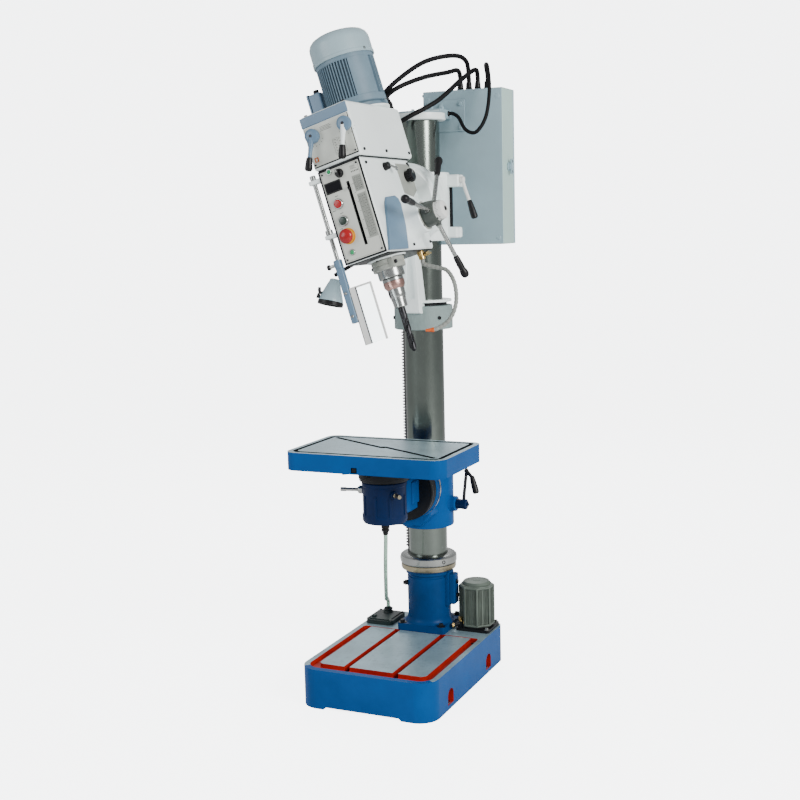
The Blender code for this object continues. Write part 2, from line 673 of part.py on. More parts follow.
def make_controls(head):
    for name, look in (("stop_button", "red_plastic"), ("start_button", "green_plastic")):
        z, _, cap_r = BUTTONS[name]
        axis = empty(f"{name}_axis", (BUTTON_X, 0, z), parent=head)
        soften(rod(name, (0, -0.4886, 0), (0, -0.4985, 0), cap_r, look, axis, sides=24), 0.001)
    z, _, stem_r = BUTTONS["emergency_stop"]
    axis = empty("emergency_stop_axis", (BUTTON_X, 0, z), parent=head)
    stop = rod("emergency_stop", (0, -0.4906, 0), (0, -0.5050, 0), stem_r, "red_plastic", axis, sides=24)
    join(stop, rod("mushroom", (0, -0.5020, 0), (0, -0.5150, 0), 0.0200, parent=axis, end_radius=0.0160, sides=28))

    axis = empty("selector_axis", (-0.002, PANEL_Y - GAP, 0.088), parent=head)
    knob = rod("selector_knob", (0, 0, 0), (0, -0.010, 0), 0.0110, "black_plastic", axis, sides=24)
    join(knob, block("selector_bar", (-0.0035, -0.018, -0.0105), (0.0035, -0.006, 0.0105), parent=axis))

    for side, x, turn in (("left", -0.044, -0.36), ("right", 0.058, -0.30)):
        z = 0.206
        axis = empty(f"shift_axis_{side}", (x, PANEL_Y - GAP, z), parent=head)
        lever = soften(rod(f"shift_lever_{side}", (0, 0, 0), (0, -0.020, 0), 0.0200, "blue_grey_paint", axis), 0.002)
        down = Vector((math.sin(turn), 0, -math.cos(turn)))
        out = Vector((0, -0.013, 0))
        join(
            lever,
            rod(f"shift_arm_{side}", out, out + down * 0.060 + Vector((0, -0.010, 0)), 0.0055, parent=axis, sides=12),
            rod(
                f"shift_grip_{side}", out + down * 0.056 + Vector((0, -0.010, 0)),
                out + down * 0.092 + Vector((0, -0.014, 0)), 0.0085, parent=axis, end_radius=0.0105, sides=16,
            ),
        )

    axis = empty("speed_knob_axis", (LOWER_X + GAP, -0.345, 0.086), parent=head)
    knob = rod("speed_knob", (0, 0, 0), (0.016, 0, 0), 0.0120, "black_plastic", axis, end_radius=0.0105, sides=20)
    join(knob, rod("speed_pin", (0.010, 0, 0), (0.020, 0.034, -0.010), 0.0035, parent=axis, sides=10))
    axis = empty("feed_selector_axis", (LOWER_X + GAP, -0.215, 0.060), parent=head)
    plate = rod("feed_selector", (0, 0, 0), (0.024, 0, 0), 0.0160, "black_plastic", axis, end_radius=0.0190)
    soften(plate, 0.002)


def make_guard_and_lamp(head):
    x, y = -0.090, -0.476
    rod("guard_rod", (x, y, -0.155), (x, y, 0.108), 0.0060, "steel", head, sides=20)
    axis = empty("guard_axis", (x, y, -0.160), parent=head)
    arm = block("guard_arm", (-0.011, -0.009, -0.150), (0.009, 0.009, 0.030), "blue_grey_paint", axis)
    soften(arm, 0.003)
    join(arm, rod("guard_screw", (-0.004, 0, 0.018), (-0.036, 0, 0.018), 0.0050, parent=axis, sides=12))
    cut(arm, rod("guard_bore", (0, 0, -0.060), (0, 0, 0.050), 0.0063, parent=axis, sides=20))
    shield = block("guard_shield", (0.0093, -0.003, -0.215), (0.078, 0.000, -0.055), "clear_plastic", axis)
    soften(shield, 0.0008, 1)

    tip = Vector((-0.190, -0.320, -0.150))
    rod("lamp_arm", (-0.0945, -0.310, -0.130), tip, 0.0060, "black_rubber", head, sides=16)
    axis = empty("lamp_axis", tip + Vector((-0.0045, 0, -0.0115)), parent=head)
    profile = (
        (0, 0.000), (0.014, 0.000), (0.018, -0.012), (0.036, -0.062), (0.036, -0.074),
        (0.033, -0.074), (0.033, -0.062), (0.015, -0.014), (0, -0.010),
    )
    turned("lamp_shade", profile, "blue_grey_paint", axis, direction=(0.45, 0.25, 1), steps=28)


def make_coolant(head):
    start = (0.045, -0.220, -0.1803)
    tube(
        "coolant_hose",
        (
            start, (0.045, -0.220, -0.194), (0.072, -0.215, -0.212), (0.104, -0.212, -0.232), (0.118, -0.220, -0.275),
            (0.112, -0.235, -0.328), (0.086, -0.250, -0.368), (0.048, -0.268, -0.384), (0.018, -0.285, -0.380),
        ),
        HOSE_R, "white_plastic", head,
    )
    axis = empty("coolant_tap_axis", (0.0553, -0.220, -0.168), parent=head)
    tap = rod("coolant_tap", (0, 0, 0), (0.016, 0, 0), 0.0060, "brass", axis, sides=16)
    join(tap, block("tap_bar", (0.010, -0.016, -0.003), (0.016, 0.016, 0.003), parent=axis))


def make_cables(head_matrix):
    """The three cables from the head's glands to the cabinet's."""
    routes = (
        ((0.004, -0.140, 1.786), (0.046, -0.060, 1.816), (0.074, 0.050, 1.838), (0.080, 0.118, 1.850)),
        ((-0.018, -0.130, 1.800), (0.036, -0.040, 1.862), (0.092, 0.050, 1.886), (0.108, 0.118, 1.876)),
    )
    ends = [(x, GLAND_Y, CABINET_HIGH[2] + 0.0153) for x in CABINET_GLANDS]
    drops = [(x, GLAND_Y, CABINET_HIGH[2] + 0.040) for x in CABINET_GLANDS]
    for i, (gland, route) in enumerate(zip(GLANDS, routes)):
        start = head_matrix @ Vector((*gland, 0.2853))
        lead = head_matrix @ Vector((*gland, 0.310))
        tube(f"head_cable_{i + 1}", (start, lead, *route, drops[i], ends[i]), CABLE_R, "black_rubber")
    rear_start = head_matrix @ Vector((REAR_GLAND[0], REAR_GLAND[1] + 0.0153, REAR_GLAND[2]))
    rear_lead = rear_start + Vector((0, 0.012, 0))
    route = ((0.020, -0.098, 1.706), (0.078, -0.040, 1.748), (0.116, 0.050, 1.812), (0.137, 0.118, 1.848))
    tube("head_cable_3", (rear_start, rear_lead, *route, drops[2], ends[2]), CABLE_R, "black_rubber")
    route = (
        (0.078, 0.074, 1.718), (0.104, 0.058, 1.704), (0.138, 0.030, 1.664), (0.175, 0.020, 1.655), (0.203, 0.030, 1.700),
        (0.208, 0.050, 1.780), (0.190, 0.085, 1.850), (0.170, 0.122, 1.860),
    )
    start = (0.0655, 0.074, 1.718)
    tube("arm_cable", (start, *route, drops[3], ends[3]), CABLE_R * 0.8, "black_rubber")


clear_scene()
PARTS = new_collection("drill_press")
TOOLS = new_collection("tools", hidden=True)

make_base()
make_coolant_pump()
make_column()
make_cabinet()
make_rack()
make_table_bracket()
make_table()
make_head_bracket()

head_frame = empty("head_frame", (0, 0, HEAD_PIVOT_Z), (0, -HEAD_TILT, 0))
bpy.context.view_layer.update()
make_housings(head_frame)
make_drive(head_frame)
make_feed(head_frame)
make_panels(head_frame)
make_controls(head_frame)
make_guard_and_lamp(head_frame)
make_coolant(head_frame)
make_cables(head_frame.matrix_world)
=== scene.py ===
"""Round-column drill press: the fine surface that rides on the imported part.

Lengths are metres with +Z up, and the machine faces -Y.
"""

import math

import bmesh
import bpy
from mathutils import Matrix, Vector


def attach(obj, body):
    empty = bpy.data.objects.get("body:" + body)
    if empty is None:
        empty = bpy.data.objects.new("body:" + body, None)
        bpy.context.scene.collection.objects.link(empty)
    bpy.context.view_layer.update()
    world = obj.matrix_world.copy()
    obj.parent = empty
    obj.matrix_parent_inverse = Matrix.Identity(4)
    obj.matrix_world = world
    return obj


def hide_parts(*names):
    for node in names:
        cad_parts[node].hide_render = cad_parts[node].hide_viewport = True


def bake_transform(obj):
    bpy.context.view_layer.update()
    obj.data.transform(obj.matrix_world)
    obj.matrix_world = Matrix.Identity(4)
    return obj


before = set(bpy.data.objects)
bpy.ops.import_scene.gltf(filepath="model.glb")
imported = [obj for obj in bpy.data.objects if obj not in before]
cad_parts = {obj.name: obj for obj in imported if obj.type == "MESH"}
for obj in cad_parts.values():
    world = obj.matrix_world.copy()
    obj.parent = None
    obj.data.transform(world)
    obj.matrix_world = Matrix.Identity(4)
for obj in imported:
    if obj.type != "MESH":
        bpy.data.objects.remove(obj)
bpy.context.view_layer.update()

UP, DOWN, FRONT, BACK, RIGHT, LEFT = (0, 0, 1), (0, 0, -1), (0, -1, 0), (0, 1, 0), (1, 0, 0), (-1, 0, 0)

# The head's frame has its origin on the swivel's axis and leans with the head.
LEAN = math.radians(17)
SWIVEL = (0, 0, 1.445)
HEAD = Matrix.Translation(SWIVEL) @ Matrix.Rotation(-LEAN, 4, "Y")
SPINDLE_Y = -0.36
SPINDLE = (0, SPINDLE_Y, 0)
MOTOR_Y = -0.246
MOTOR_AT = (0, MOTOR_Y, 0)
FEED_Y, FEED_Z = -0.27, -0.07
FEED = (0, FEED_Y, FEED_Z)
HEAD_GLANDS = ((0.06, -0.156), (0.034, -0.15))

CABINET_GLANDS_X = (0.08, 0.108, 0.137, 0.168)
TABLE_TILT = (0, 0, 0.594)
PANEL_Y = -0.4893
BUTTON_X, STOP_Z, START_Z, EMERGENCY_Z = -0.031, 0.011, -0.037, -0.08
SHIFT_X, SHIFT_Z = (-0.044, 0.058), 0.206
PILOTS = ((-0.031, 0.101), (-0.033, -0.125))
TABLE_Y = -0.3154
BORE_R = 0.0603


# ---- Camera and light


def aim_camera():
    az, el, roll = math.radians(24.45), math.radians(7.99), math.radians(-1.38)
    back = Vector((math.sin(az) * math.cos(el), -math.cos(az) * math.cos(el), math.sin(el)))
    right = Vector((math.cos(az), math.sin(az), 0))
    up = back.cross(right)
    across = math.cos(roll) * right + math.sin(roll) * up
    above = math.cos(roll) * up - math.sin(roll) * right
    data = bpy.data.cameras.new("camera")
    data.lens, data.sensor_width = 56.75, 36
    data.clip_start, data.clip_end = 0.05, 50
    camera = bpy.data.objects.new("camera", data)
    eye = Matrix.Translation((1.5396, -3.5768, 1.3914))
    camera.matrix_world = eye @ Matrix((across, above, back)).transposed().to_4x4()
    bpy.context.scene.collection.objects.link(camera)
    bpy.context.scene.camera = camera


def area_light(name, at, target, size, power, color=(1, 1, 1)):
    data = bpy.data.lights.new(name, "AREA")
    data.shape, data.size, data.energy, data.color = "DISK", size, power, color
    light = bpy.data.objects.new(name, data)
    light.location = at
    light.rotation_euler = (Vector(target) - Vector(at)).to_track_quat("-Z", "Y").to_euler()
    bpy.context.scene.collection.objects.link(light)


aim_camera()
area_light("key", (4.2, -2.0, 2.7), (0, -0.2, 1.1), 2.0, 250, (1.0, 0.99, 0.97))
area_light("fill", (-2.6, -3.6, 2.2), (0, -0.2, 1.0), 2.4, 62, (0.94, 0.97, 1.0))
area_light("rim", (-1.2, 2.8, 3.0), (0, 0, 1.0), 1.6, 45)


# ---- Procedural materials


def add_node(tree, kind, inputs=None, **settings):
    node = tree.nodes.new("ShaderNode" + kind)
    for key, value in settings.items():
        setattr(node, key, value)
    for key, value in (inputs or {}).items():
        if isinstance(value, bpy.types.NodeSocket):
            tree.links.new(value, node.inputs[key])
        else:
            node.inputs[key].default_value = value
    return node


def mixed(tree, factor, a, b):
    node = tree.nodes.new("ShaderNodeMix")
    node.data_type = "RGBA"
    sockets = [node.inputs[0]] + [s for s in node.inputs if s.type == "RGBA"]
    for socket, value in zip(sockets, (factor, a, b)):
        if isinstance(value, bpy.types.NodeSocket):
            tree.links.new(value, socket)
        else:
            socket.default_value = value
    return next(s for s in node.outputs if s.type == "RGBA")


def noise(tree, vector, scale, detail, roughness):
    inputs = {"Vector": vector, "Scale": scale, "Detail": detail, "Roughness": roughness}
    return add_node(tree, "TexNoise", inputs).outputs["Fac"]


def remapped(tree, value, from_min, from_max, to_min=0.0, to_max=1.0):
    ends = {"From Min": from_min, "From Max": from_max, "To Min": to_min, "To Max": to_max}
    return add_node(tree, "MapRange", {"Value": value, **ends}).outputs["Result"]


def look(
    name, color, rough=0.4, metal=0.0, grain=700.0, depth=0.00004, patch=7.0, spread=0.1, stretch=(1, 1, 1),
    turn=(0, 0, 0), coat=0.0, clear=0.0, glow=0.0, rough_spread=0.08, stain=None, stain_at=0.62, gloss=0.5,
):
    """A material with fine grain in the bump and roughness, and a patchy colour with an optional stain."""
    made = bpy.data.materials.new(name)
    made.use_nodes = True
    tree = made.node_tree
    shader = tree.nodes["Principled BSDF"]
    coords = add_node(tree, "TexCoord").outputs["Object"]
    aimed = add_node(tree, "Mapping", {"Vector": coords, "Rotation": turn, "Scale": stretch}).outputs[
        "Vector"
    ]
    fine = noise(tree, aimed, grain, 4.0, 0.6)
    broad = noise(tree, coords, patch, 6.0, 0.62)
    low = tuple(c * (1 - spread) for c in color) + (1,)
    high = tuple(min(1, c * (1 + spread)) for c in color) + (1,)
    tone = mixed(tree, remapped(tree, broad, 0.32, 0.68), low, high)
    if stain:
        spots = noise(tree, coords, patch * 6, 8.0, 0.75)
        edge = remapped(tree, spots, stain_at, stain_at + 0.12)
        tone = mixed(tree, edge, tone, (*stain, 1))
    tree.links.new(tone, shader.inputs["Base Color"])
    sheen = remapped(tree, fine, 0.3, 0.7, max(0.02, rough - rough_spread), min(1, rough + rough_spread))
    tree.links.new(sheen, shader.inputs["Roughness"])
    bump = add_node(tree, "Bump", {"Height": fine, "Strength": 1.0, "Distance": depth}).outputs["Normal"]
    tree.links.new(bump, shader.inputs["Normal"])
    shader.inputs["Metallic"].default_value = metal
    shader.inputs["Specular IOR Level"].default_value = gloss
    shader.inputs["Coat Weight"].default_value = coat
    shader.inputs["Coat Roughness"].default_value = 0.12
    shader.inputs["Transmission Weight"].default_value = clear
    if glow:
        tree.links.new(tone, shader.inputs["Emission Color"])
        shader.inputs["Emission Strength"].default_value = glow
    return made


ENAMEL = {"grain": 420, "depth": 0.00012}
FINE_ENAMEL = {"grain": 420, "depth": 0.00009, "gloss": 0.4}
CABINET_PAINT = {"grain": 620, "depth": 0.00008, "patch": 3, "gloss": 0.4}
PRINTED = {"grain": 900, "depth": 0.00003, "gloss": 0.3}
INKED = {"grain": 900, "depth": 0.00002, "patch": 30}
TURNED = {"metal": 1, "grain": 60, "depth": 0.00002, "stretch": (1, 1, 60)}
TURNED_HEAD = {**TURNED, "turn": (0, LEAN, 0)}
MOULDED = {"grain": 800, "depth": 0.00003, "patch": 30}
SMOOTH = {"grain": 700, "depth": 0.00003}

BLUE = look(
    "blue_enamel", (0.0, 0.062, 0.23), 0.34, patch=5, spread=0.16, stain=(0.0, 0.04, 0.165), stain_at=0.64,
    gloss=0.08, **ENAMEL,
)
FOOT_BLUE = look("blue_enamel_foot", (0.0, 0.04, 0.15), 0.38, patch=6, spread=0.2, gloss=0.1, **ENAMEL)
# Painted shade: a darkened copy of the blue enamel for the boss under the table, where shade falls. The crank
# hub takes this dark blue too.
DEEP_BLUE = look("dark_blue_enamel_and_painted_shade", (0.001, 0.012, 0.055), 0.4, patch=9, spread=0.2, gloss=0.12, **ENAMEL)
RED = look(
    "red_oxide_enamel", (0.34, 0.012, 0.006), 0.42, grain=500, depth=0.0001, patch=12, spread=0.22,
    stain=(0.16, 0.006, 0.004), stain_at=0.6, gloss=0.15,
)
WHITE = look(
    "pale_grey_enamel", (0.86, 0.93, 0.92), 0.36, patch=4, spread=0.05, coat=0.1, stain=(0.72, 0.8, 0.81),
    stain_at=0.68, **FINE_ENAMEL,
)
SKY = look("blue_grey_enamel", (0.11, 0.19, 0.28), 0.38, patch=5, spread=0.08, coat=0.1, **FINE_ENAMEL)
CABINET = look("cabinet_enamel", (0.3, 0.425, 0.48), 0.42, coat=0.1, **CABINET_PAINT)
# Painted light: a lighter copy of the cabinet paint for the right side, which faces the key light, and for a
# highlight on its front corner.
CABINET_LIT_SIDE = look("cabinet_enamel_painted_light", (0.4, 0.56, 0.52), 0.42, spread=0.06, **CABINET_PAINT)
FRAME_GREY = look("grey_green_enamel", (0.2, 0.26, 0.255), 0.45, patch=8, gloss=0.4, **ENAMEL)
MOTOR = look(
    "motor_enamel", (0.13, 0.2, 0.255), 0.45, grain=380, depth=0.00016, patch=10, spread=0.14, gloss=0.4,
)
COWL = look(
    "cowl_enamel", (0.3, 0.41, 0.455), 0.4, grain=500, depth=0.00007, patch=6, spread=0.08, coat=0.15,
    gloss=0.4,
)
PUMP = look(
    "pump_casting", (0.1, 0.125, 0.105), 0.5, metal=0.35, grain=300, depth=0.00022, patch=14, spread=0.2,
)
BEIGE = look("beige_panel", (0.56, 0.58, 0.53), 0.48, patch=9, spread=0.04, **PRINTED)
PLATE_GREY = look("chart_grey", (0.3, 0.315, 0.285), 0.5, patch=20, spread=0.06, **PRINTED)
INK = look("printed_black", (0.008, 0.008, 0.009), 0.55, spread=0.25, gloss=0.2, **INKED)
RUST_INK = look("printed_orange", (0.48, 0.11, 0.02), 0.55, spread=0.2, **INKED)
STEEL = look("turned_steel", (0.32, 0.33, 0.32), 0.24, patch=9, **TURNED)
COLUMN = look("ground_column", (0.15, 0.172, 0.156), 0.2, patch=5, spread=0.14, rough_spread=0.06, **TURNED)
HEAD_STEEL = look("turned_steel_head", (0.34, 0.35, 0.34), 0.24, patch=12, spread=0.12, **TURNED_HEAD)
CROSS_STEEL = look(
    "turned_steel_cross", (0.42, 0.43, 0.42), 0.26, patch=12, **{**TURNED, "stretch": (60, 1, 1)},
)
COPPER = look("heat_tinted_nose", (0.38, 0.23, 0.2), 0.3, patch=16, spread=0.16, **TURNED_HEAD)
MILLED = look(
    "milled_iron", (0.245, 0.35, 0.395), 0.34, metal=0.3, grain=45, depth=0.00003, stretch=(14, 1, 1),
    patch=11, spread=0.16, stain=(0.15, 0.23, 0.27), stain_at=0.54,
)
DARK = look(
    "blackened_steel", (0.03, 0.03, 0.033), 0.38, metal=0.9, grain=240, depth=0.00006, patch=18,
    spread=0.25,
)
IRON = look(
    "rack_steel", (0.08, 0.08, 0.078), 0.36, metal=1, grain=200, depth=0.00006, patch=18, spread=0.22,
)
OLIVE = look(
    "hub_enamel", (0.05, 0.06, 0.053), 0.4, grain=420, depth=0.00008, patch=16, spread=0.15, coat=0.15,
    gloss=0.4,
)
BRASS = look("brass", (0.64, 0.44, 0.17), 0.28, metal=1, grain=260, depth=0.00003, patch=22, spread=0.16)
BAND = look("brassy_band", (0.33, 0.29, 0.2), 0.3, patch=12, spread=0.14, **TURNED)
BLACK = look("black_plastic", (0.005, 0.005, 0.006), 0.38, grain=800, patch=20, spread=0.25, gloss=0.25)
RUBBER = look(
    "black_rubber", (0.004, 0.004, 0.005), 0.58, grain=600, depth=0.00008, patch=24, spread=0.3, gloss=0.15,
)
# Painted shade: near-black for bores, slots, recesses, seams, the gap between the head bracket's lugs and the
# dark parts under the table, where shade falls. The pump's foot is black too.
SHADOW_BLACK = look(
    "black_paint_and_painted_shade", (0.004, 0.005, 0.007), 0.45, grain=420, depth=0.0001, patch=10, spread=0.3, gloss=0.2,
)
LID = look(
    "green_black_cover", (0.008, 0.018, 0.018), 0.46, grain=380, depth=0.00016, patch=12, spread=0.25,
    gloss=0.3,
)
IVORY = look("ivory_plastic", (0.74, 0.745, 0.72), 0.36, patch=12, spread=0.05, **SMOOTH)
RED_CAP = look("red_plastic", (0.33, 0.004, 0.006), 0.28, spread=0.12, coat=0.3, gloss=0.3, **MOULDED)
YELLOW = look("yellow_plastic", (0.62, 0.26, 0.01), 0.36, spread=0.08, gloss=0.4, **MOULDED)
GREEN_CAP = look(
    "dark_green_plastic", (0.006, 0.022, 0.014), 0.3, spread=0.15, coat=0.3, gloss=0.4, **MOULDED,
)
GREEN_LENS = look(
    "green_lens", (0.01, 0.23, 0.08), 0.16, grain=500, depth=0.00003, patch=40, spread=0.15, glow=0.25,
    rough_spread=0.04,
)
DISPLAY = look(
    "display_glass", (0.002, 0.002, 0.004), 0.1, grain=900, depth=0.00001, patch=30, spread=0.3,
    rough_spread=0.03, gloss=0.04,
)
CLEAR = look(
    "clear_guard", (0.9, 0.96, 0.96), 0.06, grain=160, depth=0.00003, patch=14, spread=0.04, clear=1.0,
    rough_spread=0.03,
)
LAMP_LENS = look(
    "lamp_lens", (0.72, 0.76, 0.74), 0.2, grain=300, depth=0.0001, patch=30, spread=0.08, glow=0.2,
)
HOSE = look(
    "pale_green_hose", (0.34, 0.5, 0.4), 0.28, grain=500, patch=16, spread=0.08, clear=0.25, gloss=0.4,
)
LINK = look("grey_link_hose", (0.23, 0.245, 0.225), 0.42, patch=20, gloss=0.4)
ORANGE = look("orange_nozzle", (0.56, 0.095, 0.012), 0.36, patch=30, gloss=0.4, **SMOOTH)
FLOOR = look("studio_floor", (0.9, 0.9, 0.9), 0.7, grain=60, depth=0.00002, patch=1.2, spread=0.01)


# ---- Building shapes


def mm(*points):
    """Points written in millimetres, as metres."""
    return [tuple(value / 1000 for value in point) for point in points]


def spun(at, angle, axis="Z"):
    """A place at the point, turned round the axis."""
    return Matrix.Translation(at) @ Matrix.Rotation(angle, 4, axis)


def aimed(at, axis):
    turn = Vector(UP).rotation_difference(Vector(axis)).to_matrix().to_4x4()
    return Matrix.Translation(at) @ turn


class Shape:
    """Solids gathered in one mesh, with their places in the frame of `to`."""

    def __init__(self, to=None):
        self.bm = bmesh.new()
        self.to = to or Matrix.Identity(4)

    def add(self, part, mat=0, place=None):
        bmesh.ops.recalc_face_normals(part, faces=part.faces)
        bmesh.ops.transform(part, matrix=self.to @ (place or Matrix.Identity(4)), verts=part.verts)
        for face in part.faces:
            face.material_index = mat
        mesh = bpy.data.meshes.new("part")
        part.to_mesh(mesh)
        part.free()
        self.bm.from_mesh(mesh)
        bpy.data.meshes.remove(mesh)
        return self

    def box(self, low, high, edge=0.001, mat=0, segments=2, place=None):
        low, high = Vector(low), Vector(high)
        part = bmesh.new()
        bmesh.ops.create_cube(part, size=1.0)
        bmesh.ops.scale(part, vec=high - low, verts=part.verts)
        bmesh.ops.translate(part, vec=(low + high) / 2, verts=part.verts)
        edge = min(edge, 0.45 * min(high - low))
        if edge > 0:
            bmesh.ops.bevel(
                part, geom=part.edges[:], offset=edge, segments=segments, profile=0.5, affect="EDGES",
            )
        return self.add(part, mat, place)

    def turned(self, profile, at=(0, 0, 0), axis=UP, mat=0, steps=64):
        """A profile of (radius, height) spun round the axis, closed at the axis or as a ring."""
        part = bmesh.new()
        rings = []
        for radius, height in profile:
            count = 1 if radius < 1e-6 else steps
            angles = [math.tau * i / steps for i in range(count)]
            rings.append(
                [part.verts.new((radius * math.cos(a), radius * math.sin(a), height)) for a in angles]
            )
        pairs = list(zip(rings, rings[1:])) + ([(rings[-1], rings[0])] if profile[0][0] > 1e-6 else [])
        for a, b in pairs:
            for i in range(steps):
                j = (i + 1) % steps
                corners = [a[i % len(a)], b[i % len(b)], b[j % len(b)], a[j % len(a)]]
                part.faces.new(list(dict.fromkeys(corners)))
        return self.add(part, mat, aimed(at, axis))

    def rod(self, start, end, radius, end_radius=None, edge=0.001, mat=0, steps=48):
        start, end = Vector(start), Vector(end)
        long, top = (end - start).length, radius if end_radius is None else end_radius
        e = min(edge, 0.45 * min(radius, top), 0.45 * long)
        profile = [
            (0, long), (top - e, long), (top - 0.29 * e, long - 0.29 * e), (top, long - e), (radius, e),
            (radius - 0.29 * e, 0.29 * e), (radius - e, 0), (0, 0),
        ]
        return self.turned(profile, start, end - start, mat, steps)

    def slab(self, outline, thick, at=(0, 0, 0), axis=UP, edge=0.001, mat=0, segments=3):
        """A flat outline from its plane to thick along the axis, with its two rims rounded."""
        part = bmesh.new()
        bottom = [part.verts.new((x, y, 0)) for x, y in outline]
        top = [part.verts.new((x, y, thick)) for x, y in outline]
        part.faces.new(bottom[::-1])
        part.faces.new(top)
        count = len(outline)
        for i in range(count):
            j = (i + 1) % count
            part.faces.new((bottom[i], bottom[j], top[j], top[i]))
        if edge > 0:
            rims = [e for e in part.edges if abs(e.verts[0].co.z - e.verts[1].co.z) < 1e-7]
            bmesh.ops.bevel(part, geom=rims, offset=edge, segments=segments, profile=0.5, affect="EDGES")
        return self.add(part, mat, aimed(at, axis))

    def tube(self, path, radius, mat=0, steps=16, radii=None):
        """A round tube along a path of points."""
        part = bmesh.new()
        path = [Vector(p) for p in path]
        last, side, rings = None, None, []
        for i, point in enumerate(path):
            along = (path[min(i + 1, len(path) - 1)] - path[max(i - 1, 0)]).normalized()
            side = along.orthogonal().normalized() if last is None else last.rotation_difference(along) @ side
            side = (side - along * side.dot(along)).normalized()
            other, last = along.cross(side), along
            r = radius if radii is None else radii[i]
            angles = [math.tau * k / steps for k in range(steps)]
            rings.append(
                [part.verts.new(point + r * (math.cos(a) * side + math.sin(a) * other)) for a in angles]
            )
        for a, b in zip(rings, rings[1:]):
            for k in range(steps):
                part.faces.new((a[k], a[(k + 1) % steps], b[(k + 1) % steps], b[k]))
        part.faces.new(rings[0][::-1])
        part.faces.new(rings[-1])
        return self.add(part, mat)

    def merged(self, other):
        mesh = bpy.data.meshes.new("part")
        other.bm.to_mesh(mesh)
        self.bm.from_mesh(mesh)
        bpy.data.meshes.remove(mesh)
        return self

    def bolt(self, at, axis, size, mat=0, washer=True):
        """A hexagon head with a chamfered crown on a washer. size is across the flats."""
        axis, at, r = Vector(axis).normalized(), Vector(at), size * 0.577
        if washer:
            self.turned([
                (0, 0.12 * size), (0.95 * size, 0.12 * size), (size, 0.07 * size), (size, -0.02 * size),
                (0, -0.02 * size),
            ], at, axis, mat, 32)
        self.turned([
            (0, 0.74 * size), (0.82 * r, 0.74 * size), (r, 0.62 * size), (r, 0.1 * size), (0, 0.1 * size),
        ], at, axis, mat, 6)
        return self

    def screw(self, at, axis, r, mat=0):
        """A round socket head with a recess."""
        profile = [
            (0, 0.25 * r), (0.45 * r, 0.25 * r), (0.5 * r, 0.9 * r), (0.85 * r, 0.9 * r), (r, 0.7 * r),
            (r, -0.1 * r), (0, -0.1 * r),
        ]
        return self.turned(profile, at, axis, mat, 24)

    def gland(self, at, axis, r, mat=0):
        """A cable gland: a hexagon body under a twelve-sided cap."""
        axis, at = Vector(axis).normalized(), Vector(at)
        self.turned(
            [(0, 0.7 * r), (0.95 * r, 0.7 * r), (1.1 * r, 0.6 * r), (1.1 * r, 0), (0, 0)], at, axis, mat, 6,
        )
        self.turned([
            (0, 1.5 * r), (0.7 * r, 1.5 * r), (0.92 * r, 1.3 * r), (0.95 * r, 0.7 * r), (0, 0.7 * r),
        ], at, axis, mat, 12)
        return self

    def tinted(self, mat, chosen):
        """Gives the faces that chosen(centre, normal) picks another material."""
        self.bm.normal_update()
        for face in self.bm.faces:
            if chosen(face.calc_center_median(), face.normal):
                face.material_index = mat
        return self

    def carved(self, *tools, operation="DIFFERENCE"):
        """Boolean with each tool in turn. Faces from a tool keep the tool's material number."""
        body = self.as_object("body")
        others = [tool.as_object("tool") for tool in tools]
        for other in others:
            step = body.modifiers.new("step", "BOOLEAN")
            step.operation, step.object, step.solver = operation, other, "EXACT"
            step.use_self = True
        graph = bpy.context.evaluated_depsgraph_get()
        mesh = bpy.data.meshes.new_from_object(body.evaluated_get(graph))
        self.bm.clear()
        self.bm.from_mesh(mesh)
        for obj in (body, *others):
            bpy.data.objects.remove(obj)
        return self

    def as_object(self, name):
        mesh = bpy.data.meshes.new(name)
        for _ in range(6):
            mesh.materials.append(None)
        self.bm.to_mesh(mesh)
        obj = bpy.data.objects.new(name, mesh)
        bpy.context.scene.collection.objects.link(obj)
        return obj


def piece(name, shape, looks, body=None, replaces=(), angle=34, flat=True):
    """Makes the shape an object that rides on a CAD body and stands for CAD nodes."""
    mesh = bpy.data.meshes.new(name)
    shape.bm.to_mesh(mesh)
    shape.bm.free()
    for material in [looks] if isinstance(looks, bpy.types.Material) else looks:
        mesh.materials.append(material)
    mesh.shade_smooth()
    mesh.set_sharp_from_angle(angle=math.radians(angle))
    obj = bpy.data.objects.new(name, mesh)
    bpy.context.scene.collection.objects.link(obj)
    if flat:
        normals = obj.modifiers.new("normals", "WEIGHTED_NORMAL")
        normals.keep_sharp = True
    if body:
        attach(obj, body)
    if replaces:
        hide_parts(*replaces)
    return obj


def rounded(low, high, front_r, rear_r, steps=12):
    """A rectangle with quarter-round corners, as (x, y) points."""
    (x0, y0), (x1, y1) = low, high
    corners = (
        (x1 - rear_r, y1 - rear_r, rear_r, 0), (x0 + rear_r, y1 - rear_r, rear_r, 90),
        (x0 + front_r, y0 + front_r, front_r, 180), (x1 - front_r, y0 + front_r, front_r, 270),
    )
    points = []
    for x, y, r, start in corners:
        for i in range(steps + 1):
            a = math.radians(start + 90 * i / steps)
            points.append((x + r * math.cos(a), y + r * math.sin(a)))
    return points


def smooth_route(points, spacing):
    """Points on the Catmull-Rom curve through the given ones."""
    path = [Vector(p) for p in points]
    path = [2 * path[0] - path[1]] + path + [2 * path[-1] - path[-2]]
    route = [path[1]]
    for a, b, c, d in zip(path, path[1:], path[2:], path[3:]):
        count = max(1, round((c - b).length / spacing))
        for i in range(1, count + 1):
            t = i / count
            bend = (2 * a - 5 * b + 4 * c - d) * t * t + (3 * b - a - 3 * c + d) * t ** 3
            route.append(0.5 * (2 * b + (c - a) * t + bend))
    return route


